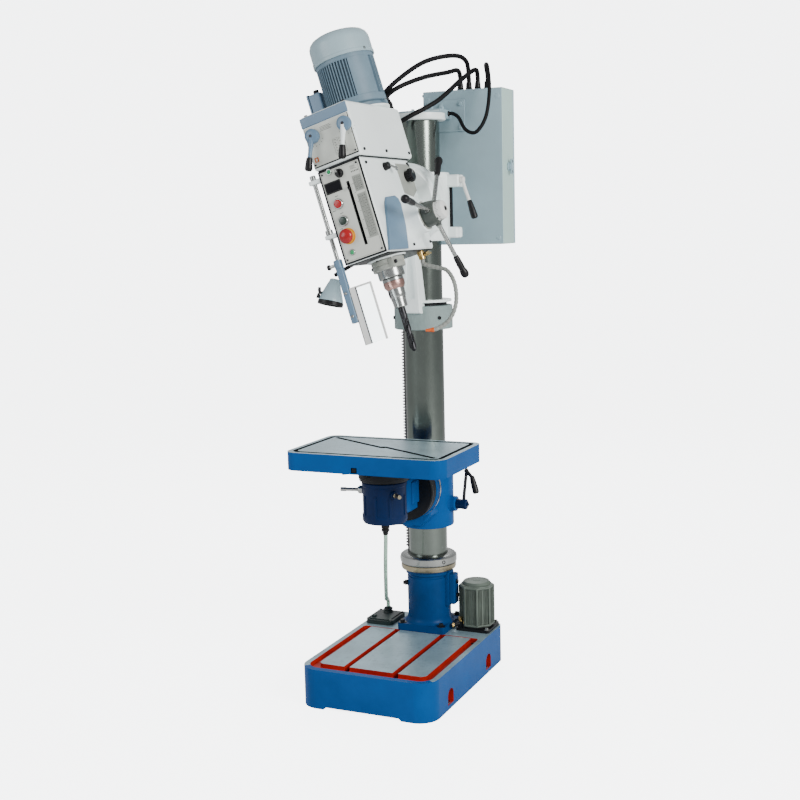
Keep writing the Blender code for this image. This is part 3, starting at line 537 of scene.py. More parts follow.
def ring(outer, inner, low, high, edge=0.002):
    """The profile of a tube with rounded outer rims."""
    e = edge
    return [
        (outer - e, high), (outer - 0.29 * e, high - 0.29 * e), (outer, high - e), (outer, low + e),
        (outer - 0.29 * e, low + 0.29 * e), (outer - e, low), (inner + 0.0005, low), (inner, low + 0.0005),
        (inner, high - 0.0005), (inner + 0.0005, high),
    ]


# ---- Cords


def bent_cord(name, path, radius, look_used, replaces):
    """One length of a cable or hose between two bodies, as a fixed tube along the path."""
    obj = piece(name, Shape().tube(path, radius, steps=18), look_used, angle=60, flat=False)
    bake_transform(obj)
    if replaces:
        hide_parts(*replaces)


def make_head_cables():
    ends = [(x, 0.14, 1.8053) for x in CABINET_GLANDS_X]
    drops = [(x, 0.14, 1.83) for x in CABINET_GLANDS_X]
    rear = HEAD @ Vector((0.05, -0.1247, 0.235))
    starts = [HEAD @ Vector((*g, 0.2853)) for g in HEAD_GLANDS] + [rear]
    leads = [HEAD @ Vector((*g, 0.31)) for g in HEAD_GLANDS] + [rear + Vector((0, 0.012, 0))]
    middles = (
        ((0.004, -0.14, 1.786), (0.046, -0.06, 1.816), (0.074, 0.05, 1.838), (0.08, 0.118, 1.85)),
        ((-0.018, -0.13, 1.8), (0.036, -0.04, 1.862), (0.092, 0.05, 1.886), (0.108, 0.118, 1.876)),
        ((0.02, -0.098, 1.706), (0.078, -0.04, 1.748), (0.116, 0.05, 1.812), (0.137, 0.118, 1.848)),
    )
    for i in range(3):
        path = smooth_route((starts[i], leads[i], *middles[i], drops[i], ends[i]), 0.006)
        half = len(path) // 2
        name = f"head_cable_{i + 1}"
        bent_cord(
            f"{name}_front", path[:half + 1], 0.007, RUBBER, [name],
        )
        bent_cord(f"{name}_rear", path[half:], 0.007, RUBBER, ())
    route = (
        (0.0655, 0.074, 1.718), (0.078, 0.074, 1.718), (0.104, 0.058, 1.704), (0.138, 0.03, 1.664),
        (0.175, 0.02, 1.655), (0.203, 0.03, 1.7), (0.208, 0.05, 1.78), (0.19, 0.085, 1.85),
        (0.17, 0.122, 1.86), drops[3], ends[3],
    )
    path = smooth_route(route, 0.006)
    cable = piece(
        "arm_cable_run", Shape().tube(path, 0.0056), RUBBER, "base", ["arm_cable"], 60,
        False,
    )


def make_drain_hose():
    route = (
        (0, TABLE_Y, 0.4955), (0, TABLE_Y, 0.47), (-0.01, -0.3, 0.395), (-0.046, -0.225, 0.3),
        (-0.1, -0.11, 0.225), (-0.15, -0.004, 0.195), (-0.162, 0.034, 0.17), (-0.162, 0.034, 0.1503),
    )
    path = smooth_route(route, 0.006)[::-1]
    cuts = [0, round(len(path) * 0.36), round(len(path) * 0.68), len(path) - 1]
    for i in range(3):
        part = path[cuts[i]:cuts[i + 1] + 1]
        stands_for = ["drain_hose"] if i == 0 else ()
        name = f"drain_hose_{i + 1}"
        bent_cord(name, part, 0.006, HOSE, stands_for)


def make_coolant_hose():
    """A segmented hose: ball-and-socket links along the route, with a nozzle at its end."""
    start = Vector((0.045, -0.22, -0.1803))
    route = (
        start, (0.045, -0.22, -0.194), (0.072, -0.215, -0.212), (0.104, -0.212, -0.232),
        (0.118, -0.22, -0.275), (0.112, -0.235, -0.328), (0.086, -0.25, -0.368), (0.048, -0.268, -0.384),
        (0.018, -0.285, -0.38),
    )
    path = [HEAD @ p for p in smooth_route(route, 0.002)]
    cut = len(path) - 13
    radii = [0.0054 + 0.0011 * abs(math.sin(math.pi * i / 6)) for i in range(cut + 1)]
    links = Shape().tube(path[:cut + 1], 0.006, radii=radii, steps=20)
    hose = piece("coolant_hose_links", links, LINK, "head", ["coolant_hose"], 60, False)
    narrowing = [0.0066 if i < 4 else 0.0062 - 0.0002 * i for i in range(len(path) - cut)]
    nozzle = Shape().tube(path[cut:], 0.005, radii=narrowing, steps=24)
    tip = piece("coolant_nozzle", nozzle, ORANGE, "head", angle=50)


make_head_cables()
make_drain_hose()
make_coolant_hose()


# ---- Base and column


def make_base():
    base = Shape().slab(rounded((-0.212, -0.496), (0.212, 0.1), 0.06, 0.03), 0.117, edge=0.005)
    trough = Shape().slab(
        rounded((-0.195, -0.475), (0.195, -0.075), 0.04, 0.012), 0.05, (0, 0, 0.105), edge=0, mat=1,
    )
    trough.carved(Shape().slab(rounded((-0.17, -0.44), (0.17, -0.08), 0.018, 0.004), 0.2, edge=0, mat=1))
    tools = [trough]
    for side in (-1, 1):
        x = side * 0.0775
        tools.append(Shape().box((x - 0.009, -0.474, 0.084), (x + 0.009, -0.076, 0.13), 0, 1))
        tools.append(Shape().box((x - 0.016, -0.473, 0.085), (x + 0.016, -0.077, 0.098), 0, 1))
        for front, rear in ((-0.47, -0.3), (-0.28, -0.11)):
            near, far = sorted((side * 0.012, side * 0.155))
            tools.append(Shape().box((near, front, -0.01), (far, rear, 0.068), 0))
        for y in (-0.352, -0.04):
            near, far = sorted((side * 0.168, side * 0.22))
            tools.append(
                Shape().rod((side * 0.168, y, 0.038), (side * 0.22, y, 0.038), 0.022, edge=0, mat=1)
            )
            tools.append(Shape().box((near, y - 0.0218, 0.014), (far, y + 0.0218, 0.038), 0, 1))
            tools.append(Shape().rod((side * 0.19, y, -0.01), (side * 0.19, y, 0.03), 0.009, edge=0, mat=1))
    tools.append(
        Shape().slab(mm((-140, -10), (-120, 7.5), (110, 7.5), (130, -10)), 0.7, (0, 0.15, 0), FRONT, 0)
    )
    base.carved(*tools)
    base.tinted(2, lambda c, n: n.z > 0.9 and c.z > 0.1165 and abs(c.x) < 0.171 and -0.441 < c.y < -0.079)
    piece("base_body", base, [BLUE, RED, MILLED], "base", ["base_casting"])
    trim = Shape()
    for side in (-1, 1):
        for y in (-0.352, -0.04):
            trim.bolt((side * 0.19, y, 0.0142), UP, 0.019)
            trim.rod((side * 0.19, y, 0.014), (side * 0.19, y, 0.036), 0.0056)
    piece("anchor_bolts", trim, STEEL, "base")
    drains = Shape()
    for at in ((-0.1825, -0.455, 0), (0.1825, -0.09, 0)):
        drains.turned(mm((6, 106.2), (7.5, 106.2), (8, 105.4), (8, 104.5), (3, 104.5), (3, 105.8)), at)
        for i in range(4):
            bar = spun(at, math.pi * i / 4)
            drains.box((-0.0068, -0.0006, 0.1048), (0.0068, 0.0006, 0.106), 0.0002, place=bar)
    piece("trough_strainers", drains, DARK, "base")


def make_sump_cover():
    cover = Shape().slab(
        rounded((-0.204, -0.055), (-0.112, 0.06), 0.016, 0.01), 0.0135, (0, 0, 0.1173), edge=0.003,
    )
    cover.slab(rounded((-0.196, -0.047), (-0.12, 0.052), 0.012, 0.008), 0.0035, (0, 0, 0.1305), edge=0.0012)
    cover.turned(mm(
        (6.5, 150.3), (10, 150.3), (14, 146.5), (14, 143.5), (12.5, 143), (12.5, 139), (15, 138),
        (17, 133.5), (17, 132), (6.5, 132),
    ), (-0.162, 0.034, 0))
    cover.box((-0.19, -0.036, 0.1335), (-0.176, -0.022, 0.1405), 0.002)
    piece("sump_lid", cover, LID, "base", ["sump_cover"])
    screws = Shape()
    for x in (-0.197, -0.119):
        for y in (-0.044, 0.05):
            screws.screw((x, y, 0.1312), UP, 0.0038)
    screws.turned(mm((9.8, 145.2), (15.6, 145.2), (15.6, 144.2), (9.8, 144.2)), (-0.162, 0.034, 0))
    piece("sump_screws", screws, STEEL, "base")


def octagon(r):
    return [
        (r * math.cos(math.tau * (i + 0.5) / 8), r * math.sin(math.tau * (i + 0.5) / 8)) for i in range(8)
    ]


def make_pump():
    base = Shape().slab(
        rounded((0.096, -0.022), (0.206, 0.083), 0.008, 0.008), 0.0095, (0, 0, 0.1173), edge=0.002,
    )
    base.turned(ring(0.05, 0.01, 0.1265, 0.1312, 0.001), (0.149, 0.03, 0))
    base.rod((0.109, -0.01, 0.126), (0.109, -0.01, 0.145), 0.0085).rod(
        (0.109, -0.0175, 0.14), (0.093, -0.03, 0.136), 0.0065,
    )
    base.rod((0.122, -0.014, 0.126), (0.122, -0.014, 0.139), 0.006)
    piece("pump_foot", base, SHADOW_BLACK, "base", ["coolant_pump_base"])
    motor = Shape()
    at = (0.149, 0.03, 0)
    for across, thick, low, edge in (
        (0.0515, 0.118, 0.1345, 0.002), (0.0565, 0.007, 0.1318, 0.0018), (0.056, 0.007, 0.2515, 0.0025),
    ):
        motor.slab(octagon(across), thick, (*at[:2], low), edge=edge)
    for i in range(8):
        corner = spun(at, math.tau * (i + 0.5) / 8)
        motor.box((0.046, -0.0034, 0.135), (0.0565, 0.0034, 0.255), 0.0012, place=corner)
        for k in (-3, -2, -1, 1, 2, 3):
            face = spun(at, math.tau * i / 8) @ Matrix.Translation((0, k * 0.0045, 0))
            motor.box((0.044, -0.0009, 0.139), (0.0505, 0.0009, 0.25), 0.0004, place=face)
    motor.turned(mm(
        (0, 273), (30, 273), (40, 270.5), (44, 266), (44, 261.5), (49, 260.5), (50, 257.5), (0, 257.5),
    ), at, steps=80)
    motor.turned(mm((0, 273.8), (14, 273.8), (15, 272.8), (0, 272.8)), at)
    piece("pump_motor", motor, PUMP, "base", ["coolant_pump_motor"])
    trim = Shape()
    for x, y in ((0.104, 0.074), (0.197, 0.074), (0.197, -0.013)):
        trim.bolt((x, y, 0.1268), UP, 0.009)
    piece("pump_bolts", trim, STEEL, "base")
    brass = Shape().rod((0.109, -0.01, 0.144), (0.109, -0.01, 0.156), 0.0062).bolt(
        (0.109, -0.01, 0.149), UP, 0.013, washer=False,
    )
    brass.rod((0.122, -0.014, 0.138), (0.122, -0.014, 0.146), 0.0042).bolt(
        (0.096, -0.0275, 0.137), (-0.78, -0.6, -0.2), 0.0125, washer=False,
    )
    piece("pump_fitting", brass, BRASS, "base")


def make_column():
    foot = Shape().slab(
        rounded((-0.08, -0.079), (0.08, 0.08), 0.01, 0.01), 0.0217, (0, 0, 0.1173), edge=0.004,
    )
    foot.turned(mm(
        (61, 309.7), (70.5, 309.7), (72.5, 308), (72.5, 296), (70, 293), (65.5, 292), (65.5, 286),
        (68.5, 284), (68.5, 158), (70, 149), (74.5, 142), (79, 138.5), (61, 138.5),
    ), steps=96)
    foot.box((0.05, -0.018, 0.198), (0.094, 0.018, 0.296), 0.004, segments=3).box(
        (0.06, -0.024, 0.192), (0.076, 0.024, 0.302), 0.003,
    )
    piece("column_socket", foot, FOOT_BLUE, "base", ["column_foot"])
    bolts = Shape()
    for x in (-0.066, 0.066):
        for y in (-0.066, 0.066):
            bolts.bolt((x, y, 0.139), UP, 0.0135)
    bolts.screw((0.094, 0, 0.27), RIGHT, 0.0065).screw((0.094, 0, 0.225), RIGHT, 0.0065)
    bolts.rod((-0.056, -0.035, 0.262), (-0.066, -0.0412, 0.262), 0.0085).bolt(
        (-0.064, -0.04, 0.262), (-0.85, -0.53, 0), 0.011, washer=False,
    )
    piece("column_bolts", bolts, DARK, "base")
    tube = Shape().turned(
        mm((48, 1693.7), (58.5, 1693.7), (60, 1692), (60, 119), (59, 117.3), (48, 117.3)), steps=128,
    )
    piece("column_ground", tube, COLUMN, "base", ["column_tube"])
    cap = Shape().turned(mm(
        (0, 1721.5), (66, 1721.5), (75.5, 1719.5), (79.5, 1715), (80, 1710), (80, 1699), (78.5, 1696),
        (75.5, 1694.3), (0, 1694.3),
    ), steps=96)
    cap.turned(mm((0, 1724), (40, 1724), (43, 1722.5), (44, 1720), (0, 1720)), steps=64)
    cap.box((0.005, 0.01, 1.702), (0.065, 0.099, 1.73), 0.004, segments=3)
    cap.box((-0.02, 0.0935, 1.665), (0.11, 0.0997, 1.76), 0.0022)
    cap.slab(mm((0, 0), (0, -50), (-50, 0)), 0.008, (0.031, 0.0945, 1.704), RIGHT, 0.001)
    cap.tinted(1, lambda c, n: c.y > 0.075 or c.z > 1.6995 and c.z < 1.7315 and c.y > 0.01 or n.z > 0.5)
    piece("column_cap_arm", cap, [WHITE, CABINET], "base", ["column_cap"])
    trim = Shape()
    for x in (-0.008, 0.098):
        for z in (1.677, 1.748):
            trim.bolt((x, 0.0935, z), FRONT, 0.01)
    trim.bolt((0.022, 0.04, 1.73), UP, 0.0125).bolt((0.048, 0.062, 1.73), UP, 0.0125)
    trim.rod((0.064, 0.074, 1.718), (0.0655, 0.074, 1.718), 0.0085, mat=1).gland(
        (0.056, 0.074, 1.718), RIGHT, 0.0088, 1,
    )
    for i in range(3):
        a = 0.6 + math.tau * i / 3
        trim.screw((0.058 * math.cos(a), 0.058 * math.sin(a), 1.7215), UP, 0.0045)
    piece("cap_fasteners", trim, [CABINET, BLACK], "base")


def make_cabinet():
    body = Shape().box((-0.03, 0.1, 1.32), (0.23, 0.197, 1.79), 0.003, segments=3)
    body.carved(Shape().box((-0.027, 0.103, 1.323), (0.227, 0.22, 1.787), 0))
    # Painted light: the right side's faces take the lighter copy as its lit side, and the thin strip on its
    # front corner is a painted highlight.
    body.tinted(1, lambda c, n: c.x > 0.2285 and n.x > 0.3)
    body.box((-0.0335, 0.102, 1.775), (-0.0295, 0.192, 1.782), 0.0008).box(
        (0.2265, 0.1035, 1.3235), (0.2312, 0.108, 1.7865), 0.0008, 1,
    )
    for z in (1.34, 1.765):
        for x in (-0.014, 0.214):
            body.turned(mm((0, 1.4), (6, 1.4), (7.4, 0), (0, 0)), (x, 0.1001, z), FRONT)
    piece("cabinet_shell", body, [CABINET, CABINET_LIT_SIDE], "base", ["cabinet_body"])
    glands = Shape()
    for x in CABINET_GLANDS_X:
        glands.turned(
            mm((0, 1792.5), (13, 1792.5), (13.8, 1791.5), (13.8, 1788.5), (0, 1788.5)), (x, 0.14, 0),
            steps=32,
        )
        glands.gland((x, 0.14, 1.792), UP, 0.01)
        glands.turned(mm((0, 1814), (8, 1814), (9.2, 1806), (0, 1806)), (x, 0.14, 0), steps=24)
    piece("cabinet_glands", glands, BLACK, "base")
    inside = Shape().box((0.0, 0.1033, 1.35), (0.2, 0.1063, 1.76), 0.0006, 0)
    for z in (1.435, 1.56, 1.68):
        inside.box((0.012, 0.106, z - 0.0175), (0.188, 0.1085, z + 0.0175), 0.0005).box(
            (0.012, 0.108, z - 0.0175), (0.188, 0.1125, z - 0.0155), 0.0004,
        )
        inside.box((0.012, 0.108, z + 0.0155), (0.188, 0.1125, z + 0.0175), 0.0004)
    for i in range(3):
        x = 0.024 + 0.054 * i
        inside.box((x, 0.1105, 1.642), (x + 0.046, 0.144, 1.718), 0.0015, 1).box(
            (x + 0.008, 0.143, 1.662), (x + 0.038, 0.152, 1.698), 0.0015, 1,
        )
        for k in range(3):
            for z in (1.65, 1.71):
                inside.screw((x + 0.01 + 0.013 * k, 0.144, z), BACK, 0.0032)
    for i in range(14):
        x = 0.024 + 0.0108 * i
        inside.box((x, 0.1105, 1.421), (x + 0.0098, 0.132, 1.449), 0.0008, 2).screw(
            (x + 0.005, 0.132, 1.441), BACK, 0.0022,
        )
    for i in range(2):
        inside.box((0.03 + 0.062 * i, 0.1105, 1.54), (0.072 + 0.062 * i, 0.148, 1.584), 0.0018, 1).box(
            (0.046 + 0.062 * i, 0.147, 1.552), (0.056 + 0.062 * i, 0.156, 1.566), 0.001, 3,
        )
    piece(
        "cabinet_contactors", inside, [STEEL, BLACK, IVORY, RED_CAP], "base", ["contactor_panel"],
    )
    door = Shape().box((-0.03, 0.199, 1.32), (0.23, 0.2093, 1.79), 0.0028, segments=3)
    door.box((-0.022, 0.2088, 1.335), (0.222, 0.2098, 1.775), 0.0005).box(
        (-0.0215, 0.1973, 1.329), (0.2215, 0.1995, 1.781), 0.0006, 1,
    )
    for i in range(9):
        door.box((0.055, 0.2092, 1.4 + 0.009 * i), (0.145, 0.2106, 1.404 + 0.009 * i), 0.0006)
    piece(
        "cabinet_door_panel", door, [CABINET, RUBBER], "cabinet_door", ["cabinet_door"],
    )
    hinges = Shape()
    for z in (1.4, 1.71):
        hinges.rod((-0.03, 0.211, z - 0.028), (-0.03, 0.211, z + 0.028), 0.0042).box(
            (-0.03, 0.209, z - 0.024), (-0.004, 0.2112, z + 0.024), 0.0006,
        )
    piece("cabinet_hinges", hinges, DARK, "cabinet_door")
    latch = Shape().rod((0.2303, 0.15, 1.555), (0.2345, 0.15, 1.555), 0.0135, edge=0.0012).rod(
        (0.234, 0.15, 1.555), (0.2392, 0.15, 1.555), 0.0098, edge=0.001,
    )
    latch.box((0.237, 0.1445, 1.532), (0.2436, 0.1555, 1.578), 0.0018, segments=3).box(
        (0.2434, 0.148, 1.566), (0.2442, 0.152, 1.575), 0.0003, 1,
    )
    latch.box((0.2434, 0.148, 1.535), (0.2442, 0.152, 1.544), 0.0003, 1)
    piece("cabinet_latch_knob", latch, [CABINET, DARK], "cabinet_latch", ["cabinet_latch"])


def recolour(node, material):
    """Gives a CAD node that keeps its own shape another material."""
    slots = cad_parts[node].data.materials
    slots.clear()
    slots.append(material)


def make_rack_ring():
    shape = Shape().turned(mm(
        (61, 358.7), (70, 358.7), (83.5, 356), (88.5, 351.5), (89, 347), (89, 333), (88, 331), (61, 331),
    ), steps=112)
    shape.turned(mm((61, 330.8), (85.5, 330.8), (85.8, 329), (83.8, 327.8), (61, 327.8)), steps=96)
    shape.turned(mm(
        (61, 327.6), (85.8, 327.6), (86.8, 326.8), (86.8, 315), (85, 310.5), (83.5, 310), (61, 310),
    ), mat=1, steps=112)
    for i in range(26):
        tick = Matrix.Rotation(math.radians(-38 + 1.9 * i) - math.radians(35), 4, "Z")
        shape.box(
            (0.085, -0.0003, 0.315), (0.0871, 0.0003, 0.321 if i % 5 else 0.3235), 0.0001, 2, place=tick,
        )
    for angle in (-35, 85, 205):
        a = math.radians(angle)
        out = Vector((math.cos(a), math.sin(a), 0))
        shape.turned(
            mm((0, 0.4), (3.5, 0.4), (4, 1.6), (5.6, 1.6), (6, 0.8), (6, -3), (0, -3)),
            out * 0.0885 + Vector((0, 0, 0.342)), out, 2, 24,
        )
    piece("rack_collar", shape, [STEEL, BAND, DARK], "rack", ["rack_ring"])
    recolour("column_rack", IRON)


make_base()
make_sump_cover()
make_pump()
make_column()
make_cabinet()
make_rack_ring()


# ---- Table


def make_table_bracket():
    sleeve = Shape().turned(ring(0.083, BORE_R, 0.449, 0.668, 0.004), steps=96)
    sleeve.carved(
        Shape().box((-0.0745, -0.01, 0.4), (-0.05, 0.01, 0.7), 0),
        Shape().box((-0.002, 0.05, 0.4), (0.002, 0.12, 0.7), 0),
    )
    neck = mm((-62, 505), (-62, 655), (62, 655), (62, 505), (30, 470), (-30, 470))
    body = Shape().slab(neck, 0.075, (0, -0.05, 0), FRONT, 0.006)
    body.carved(Shape().rod((0, 0, 0.3), (0, 0, 0.8), BORE_R, edge=0, steps=96))
    body.turned(mm(
        (0, -150), (95, -150), (98, -147), (98, -139), (94.5, -137), (94.5, -131), (98, -129), (98, -121),
        (95.5, -118), (0, -118),
    ), TABLE_TILT, BACK, steps=96)
    for side in (-1, 1):
        body.box(
            (side * 0.016 - 0.0138, 0.07, 0.472), (side * 0.016 + 0.0138, 0.1, 0.638), 0.003, segments=3,
        )
    body.rod((0.06, 0.0, 0.52), (0.1, 0.0, 0.52), 0.024, edge=0.003, steps=64).rod(
        (0.07, 0, 0.52), (0.088, 0, 0.52), 0.029, end_radius=0.024, edge=0.002, steps=64,
    )
    body.merged(sleeve)
    piece("table_bracket_body", body, BLUE, "table_bracket", ["table_bracket"])
    trim = Shape()
    for z in (0.5, 0.555, 0.61):
        trim.bolt((0.0295, 0.086, z), RIGHT, 0.0135).rod((-0.034, 0.086, z), (-0.029, 0.086, z), 0.0065)
    for angle in (40, 140, 270):
        a = math.radians(angle)
        trim.bolt((0.078 * math.cos(a), -0.1185, 0.594 + 0.078 * math.sin(a)), BACK, 0.014)
    trim.rod((-0.056, -0.058, 0.466), (-0.079, -0.07, 0.466), 0.0115, edge=0.002).box(
        (-0.086, -0.081, 0.458), (-0.072, -0.067, 0.474), 0.0015,
    )
    piece("table_bracket_fasteners", trim, DARK, "table_bracket")
    scale = Shape()
    for i in range(61):
        a = math.radians(-60 + 2 * i)
        tall = 0.0085 if i % 5 == 0 else 0.0052
        spot = spun((0, -0.14, 0.594), -a, "Y")
        scale.box((0.0977, -tall, -0.00045), (0.09835, 0.0, 0.00045), 0.00008, 1, 1, place=spot)
    band = mm((97.8, -130), (98.25, -130), (98.25, -121), (97.8, -121))
    scale.turned(band, TABLE_TILT, BACK, 0, 120)
    piece("tilt_scale", scale, [CROSS_STEEL, INK], "table_bracket")


def make_crank():
    x, z = 0.1003, 0.52
    hub = Shape().rod((x - 0.029, 0, z), (x + 0.003, 0, z), 0.0089).turned(mm(
        (0, 34), (12.5, 34), (16, 31.5), (16.5, 22), (15, 14), (15.8, 7), (16, 1.5), (15, 0.3), (0, 0.3),
    ), (x, 0, z), RIGHT)
    hub.tube([
        (x + 0.022, 0, z + 0.006), (x + 0.024, 0.003, z + 0.038), (x + 0.0275, 0.007, z + 0.08),
        (x + 0.03, 0.01, z + 0.106), (x + 0.033, 0.01, z + 0.109),
    ], 0.0052)
    hub.rod(
        (x + 0.0255, 0.0095, z + 0.1075), (x + 0.052, 0.004, z + 0.084), 0.0068, end_radius=0.0048,
        edge=0.0015, steps=32,
    )
    hub.screw((x + 0.034, 0, z), RIGHT, 0.0058)
    hub.tinted(1, lambda c, n: c.z < z + 0.0175 and c.x > x)
    piece("crank_handle", hub, [DARK, DEEP_BLUE], "elevating_crank", ["elevating_crank"])
    grip = Shape().turned(mm(
        (0, 57), (6, 57), (9.5, 54.5), (10.3, 50), (10, 30), (8.6, 12), (7.2, 3), (6, 0), (0, 0),
    ), (x + 0.048, 0.006, z + 0.09), (0.018, -0.008, -0.054))
    piece("crank_grip", grip, BLACK, "elevating_crank")


def make_table():
    face, y = -0.1503, TABLE_Y
    # Painted shade: the tilt disc is near-black, for the shade beneath the table.
    arm = Shape().turned([
        (0, face), (0.0925, face), (0.095, face - 0.002), (0.095, face - 0.014), (0.093, face - 0.0155),
        (0.095, face - 0.017), (0.095, face - 0.0275), (0.092, face - 0.03), (0, face - 0.03),
    ], TABLE_TILT, BACK, 1, 96)
    beam = mm((-45, -50), (-45, 45), (45, 45), (45, -50), (20, -66), (-20, -66))
    arm.slab(beam, 0.12, (0, face - 0.026, 0.594), FRONT, 0.006)
    for side in (-1, 1):
        arm.box(
            (side * 0.0445 - 0.006, face - 0.075, 0.56), (side * 0.0445 + 0.006, face - 0.02, 0.63), 0.005,
            segments=3,
        )
    piece("table_arm_body", arm, [BLUE, SHADOW_BLACK], "table_arm", ["table_arm"])
    # Painted shade: the boss under the table is the darkened blue.
    boss = Shape().turned(mm(
        (40.5, 650), (63, 650), (66, 647.5), (66, 638), (64, 636), (64, 556), (66, 553), (66, 536),
        (62, 529), (50, 526), (30, 525.5), (13, 520), (4.6, 520), (4.6, 530), (40.5, 539.5),
    ), (0, y, 0), steps=96)
    for angle in (-50, -90, -130, 180, 0):
        spot = spun((0, y, 0), math.radians(angle))
        boss.box((0.06, -0.005, 0.54), (0.0668, 0.005, 0.612), 0.0022, place=spot)
    boss.turned(
        mm((0, 6.2), (10.5, 6.2), (12, 4.5), (12.5, -4), (0, -4)), (0.05, y - 0.042, 0.618),
        (0.77, -0.64, 0),
    )
    boss.turned(mm((0, 4), (15, 4), (16.5, 2.5), (16.5, -4), (0, -4)), (-0.0628, y, 0.618), LEFT)
    piece("table_arm_boss", boss, DEEP_BLUE, "table_arm")
    drain = Shape().turned(mm(
        (4.6, 521.5), (11.5, 521.5), (12.5, 519), (12.5, 509), (10.5, 507.5), (10.5, 505), (11.8, 504.5),
        (11.8, 499), (9.5, 496.5), (6.4, 496), (4.6, 496.5),
    ), (0, y, 0), steps=32)
    drain.turned(mm((6.2, 496.4), (8.2, 496.4), (8.2, 489), (7.4, 488), (6.2, 488)), (0, y, 0), steps=24)
    piece("drain_fitting", drain, BLACK, "table_arm")
    stud = Shape().rod((0.05, y - 0.042, 0.618), (0.078, y - 0.065, 0.618), 0.006, edge=0.0012).bolt(
        (0.053, y - 0.0445, 0.618), (0.77, -0.64, 0), 0.013, washer=False,
    )
    piece("table_arm_stud", stud, BAND, "table_arm")
    at = Vector((-0.0668, y, 0.618))
    lever = Shape().turned(mm((0, 16), (10, 16), (12, 14), (12, 2), (11, 0.3), (0, 0.3)), at, LEFT)
    lever.turned(mm((0, 21.5), (5.5, 21.5), (7, 20), (7, 15.5), (0, 15.5)), at, LEFT, 0, 6)
    aim = Vector((-0.054, -0.03, 0.004))
    lever.turned(
        mm((0, 62), (4.5, 62), (6.2, 60.5), (6.2, 45), (5.2, 43.5), (5.2, 2), (4, 0), (0, 0)),
        at + Vector((-0.008, 0, 0)), aim,
    )
    piece("table_clamp_handle", lever, CROSS_STEEL, "table_clamp", ["table_clamp_lever"])


def make_table_top():
    z, y = 0.7477, TABLE_Y
    half = Vector((0.2476, 0.156))

    def plate(inset, front_r, rear_r, thick, low, edge=0, mat=2):
        """A slab with the table's outline moved in by inset, low below the table's face."""
        x, reach = half.x - inset, half.y - inset
        outline = rounded((-x, y - reach), (x, y + reach), front_r, rear_r)
        return Shape().slab(outline, thick, (0, 0, z - low), edge=edge, mat=mat)

    top = plate(0, 0.04, 0.03, 0.0524, 0.0524, 0.0035, 0)
    groove = plate(0.015, 0.03, 0.02, 0.02, 0.01).carved(plate(0.028, 0.018, 0.01, 0.04, 0.02))
    centre = Matrix.Translation((0, y, z))
    lean = centre @ Matrix.Rotation(math.radians(60), 4, "Z")
    slot = Shape().box((-0.0132, 0.004, -0.014), (0.0012, 0.24, 0.02), 0, 2, place=lean).carved(
        Shape().box((-0.0012, -0.24, -0.014), (0.0132, -0.004, 0.02), 0, 2, place=lean), operation="UNION",
    )
    step = Shape().box((-0.0125, -0.008, -0.013), (0.0125, 0.008, 0.02), 0, 2, place=lean)
    hole = Shape().rod((0, y, z - 0.06), (0, y, z + 0.02), 0.014, edge=0, mat=2, steps=48)
    slot.carved(plate(0.024, 0.02, 0.012, 0.08, 0.04), operation="INTERSECT")
    notch = Shape().box(
        (-0.029, y - half.y - 0.01, z - 0.0485), (-0.011, y - half.y + 0.006, z - 0.033), 0, 2,
    )
    # Painted shade: the walls and floors of the groove, the slot, the hole and the notch are near-black, and
    # so is the block in the notch.
    top.carved(groove, slot, step, hole, notch)
    top.tinted(1, lambda c, n: n.z > 0.9 and c.z > z - 0.0006)
    top.tinted(2, lambda c, n: n.z > 0.5 and z - 0.016 < c.z < z - 0.004)
    top.box((-0.0265, y - half.y + 0.0005, z - 0.0465), (-0.0135, y - half.y + 0.007, z - 0.035), 0.001, 2)
    piece("table_plate", top, [BLUE, MILLED, SHADOW_BLACK], "table", ["table_top"], angle=28)
    # Painted shade: the hub under the table is near-black.
    hub = Shape().turned(mm(
        (14.5, 696), (70, 696), (75, 693), (75, 662), (73.5, 660), (73.5, 655.5), (71.5, 652.5), (40, 652),
        (40, 544), (38.5, 543), (14.5, 543),
    ), (0, y, 0), steps=96)
    for i in range(8):
        spot = spun((0, y, 0), math.tau * i / 8)
        hub.box((0.07, -0.004, 0.678), (0.128, 0.004, 0.6958), 0.002, place=spot)
    piece("table_hub", hub, SHADOW_BLACK, "table")


# ---- Head bracket


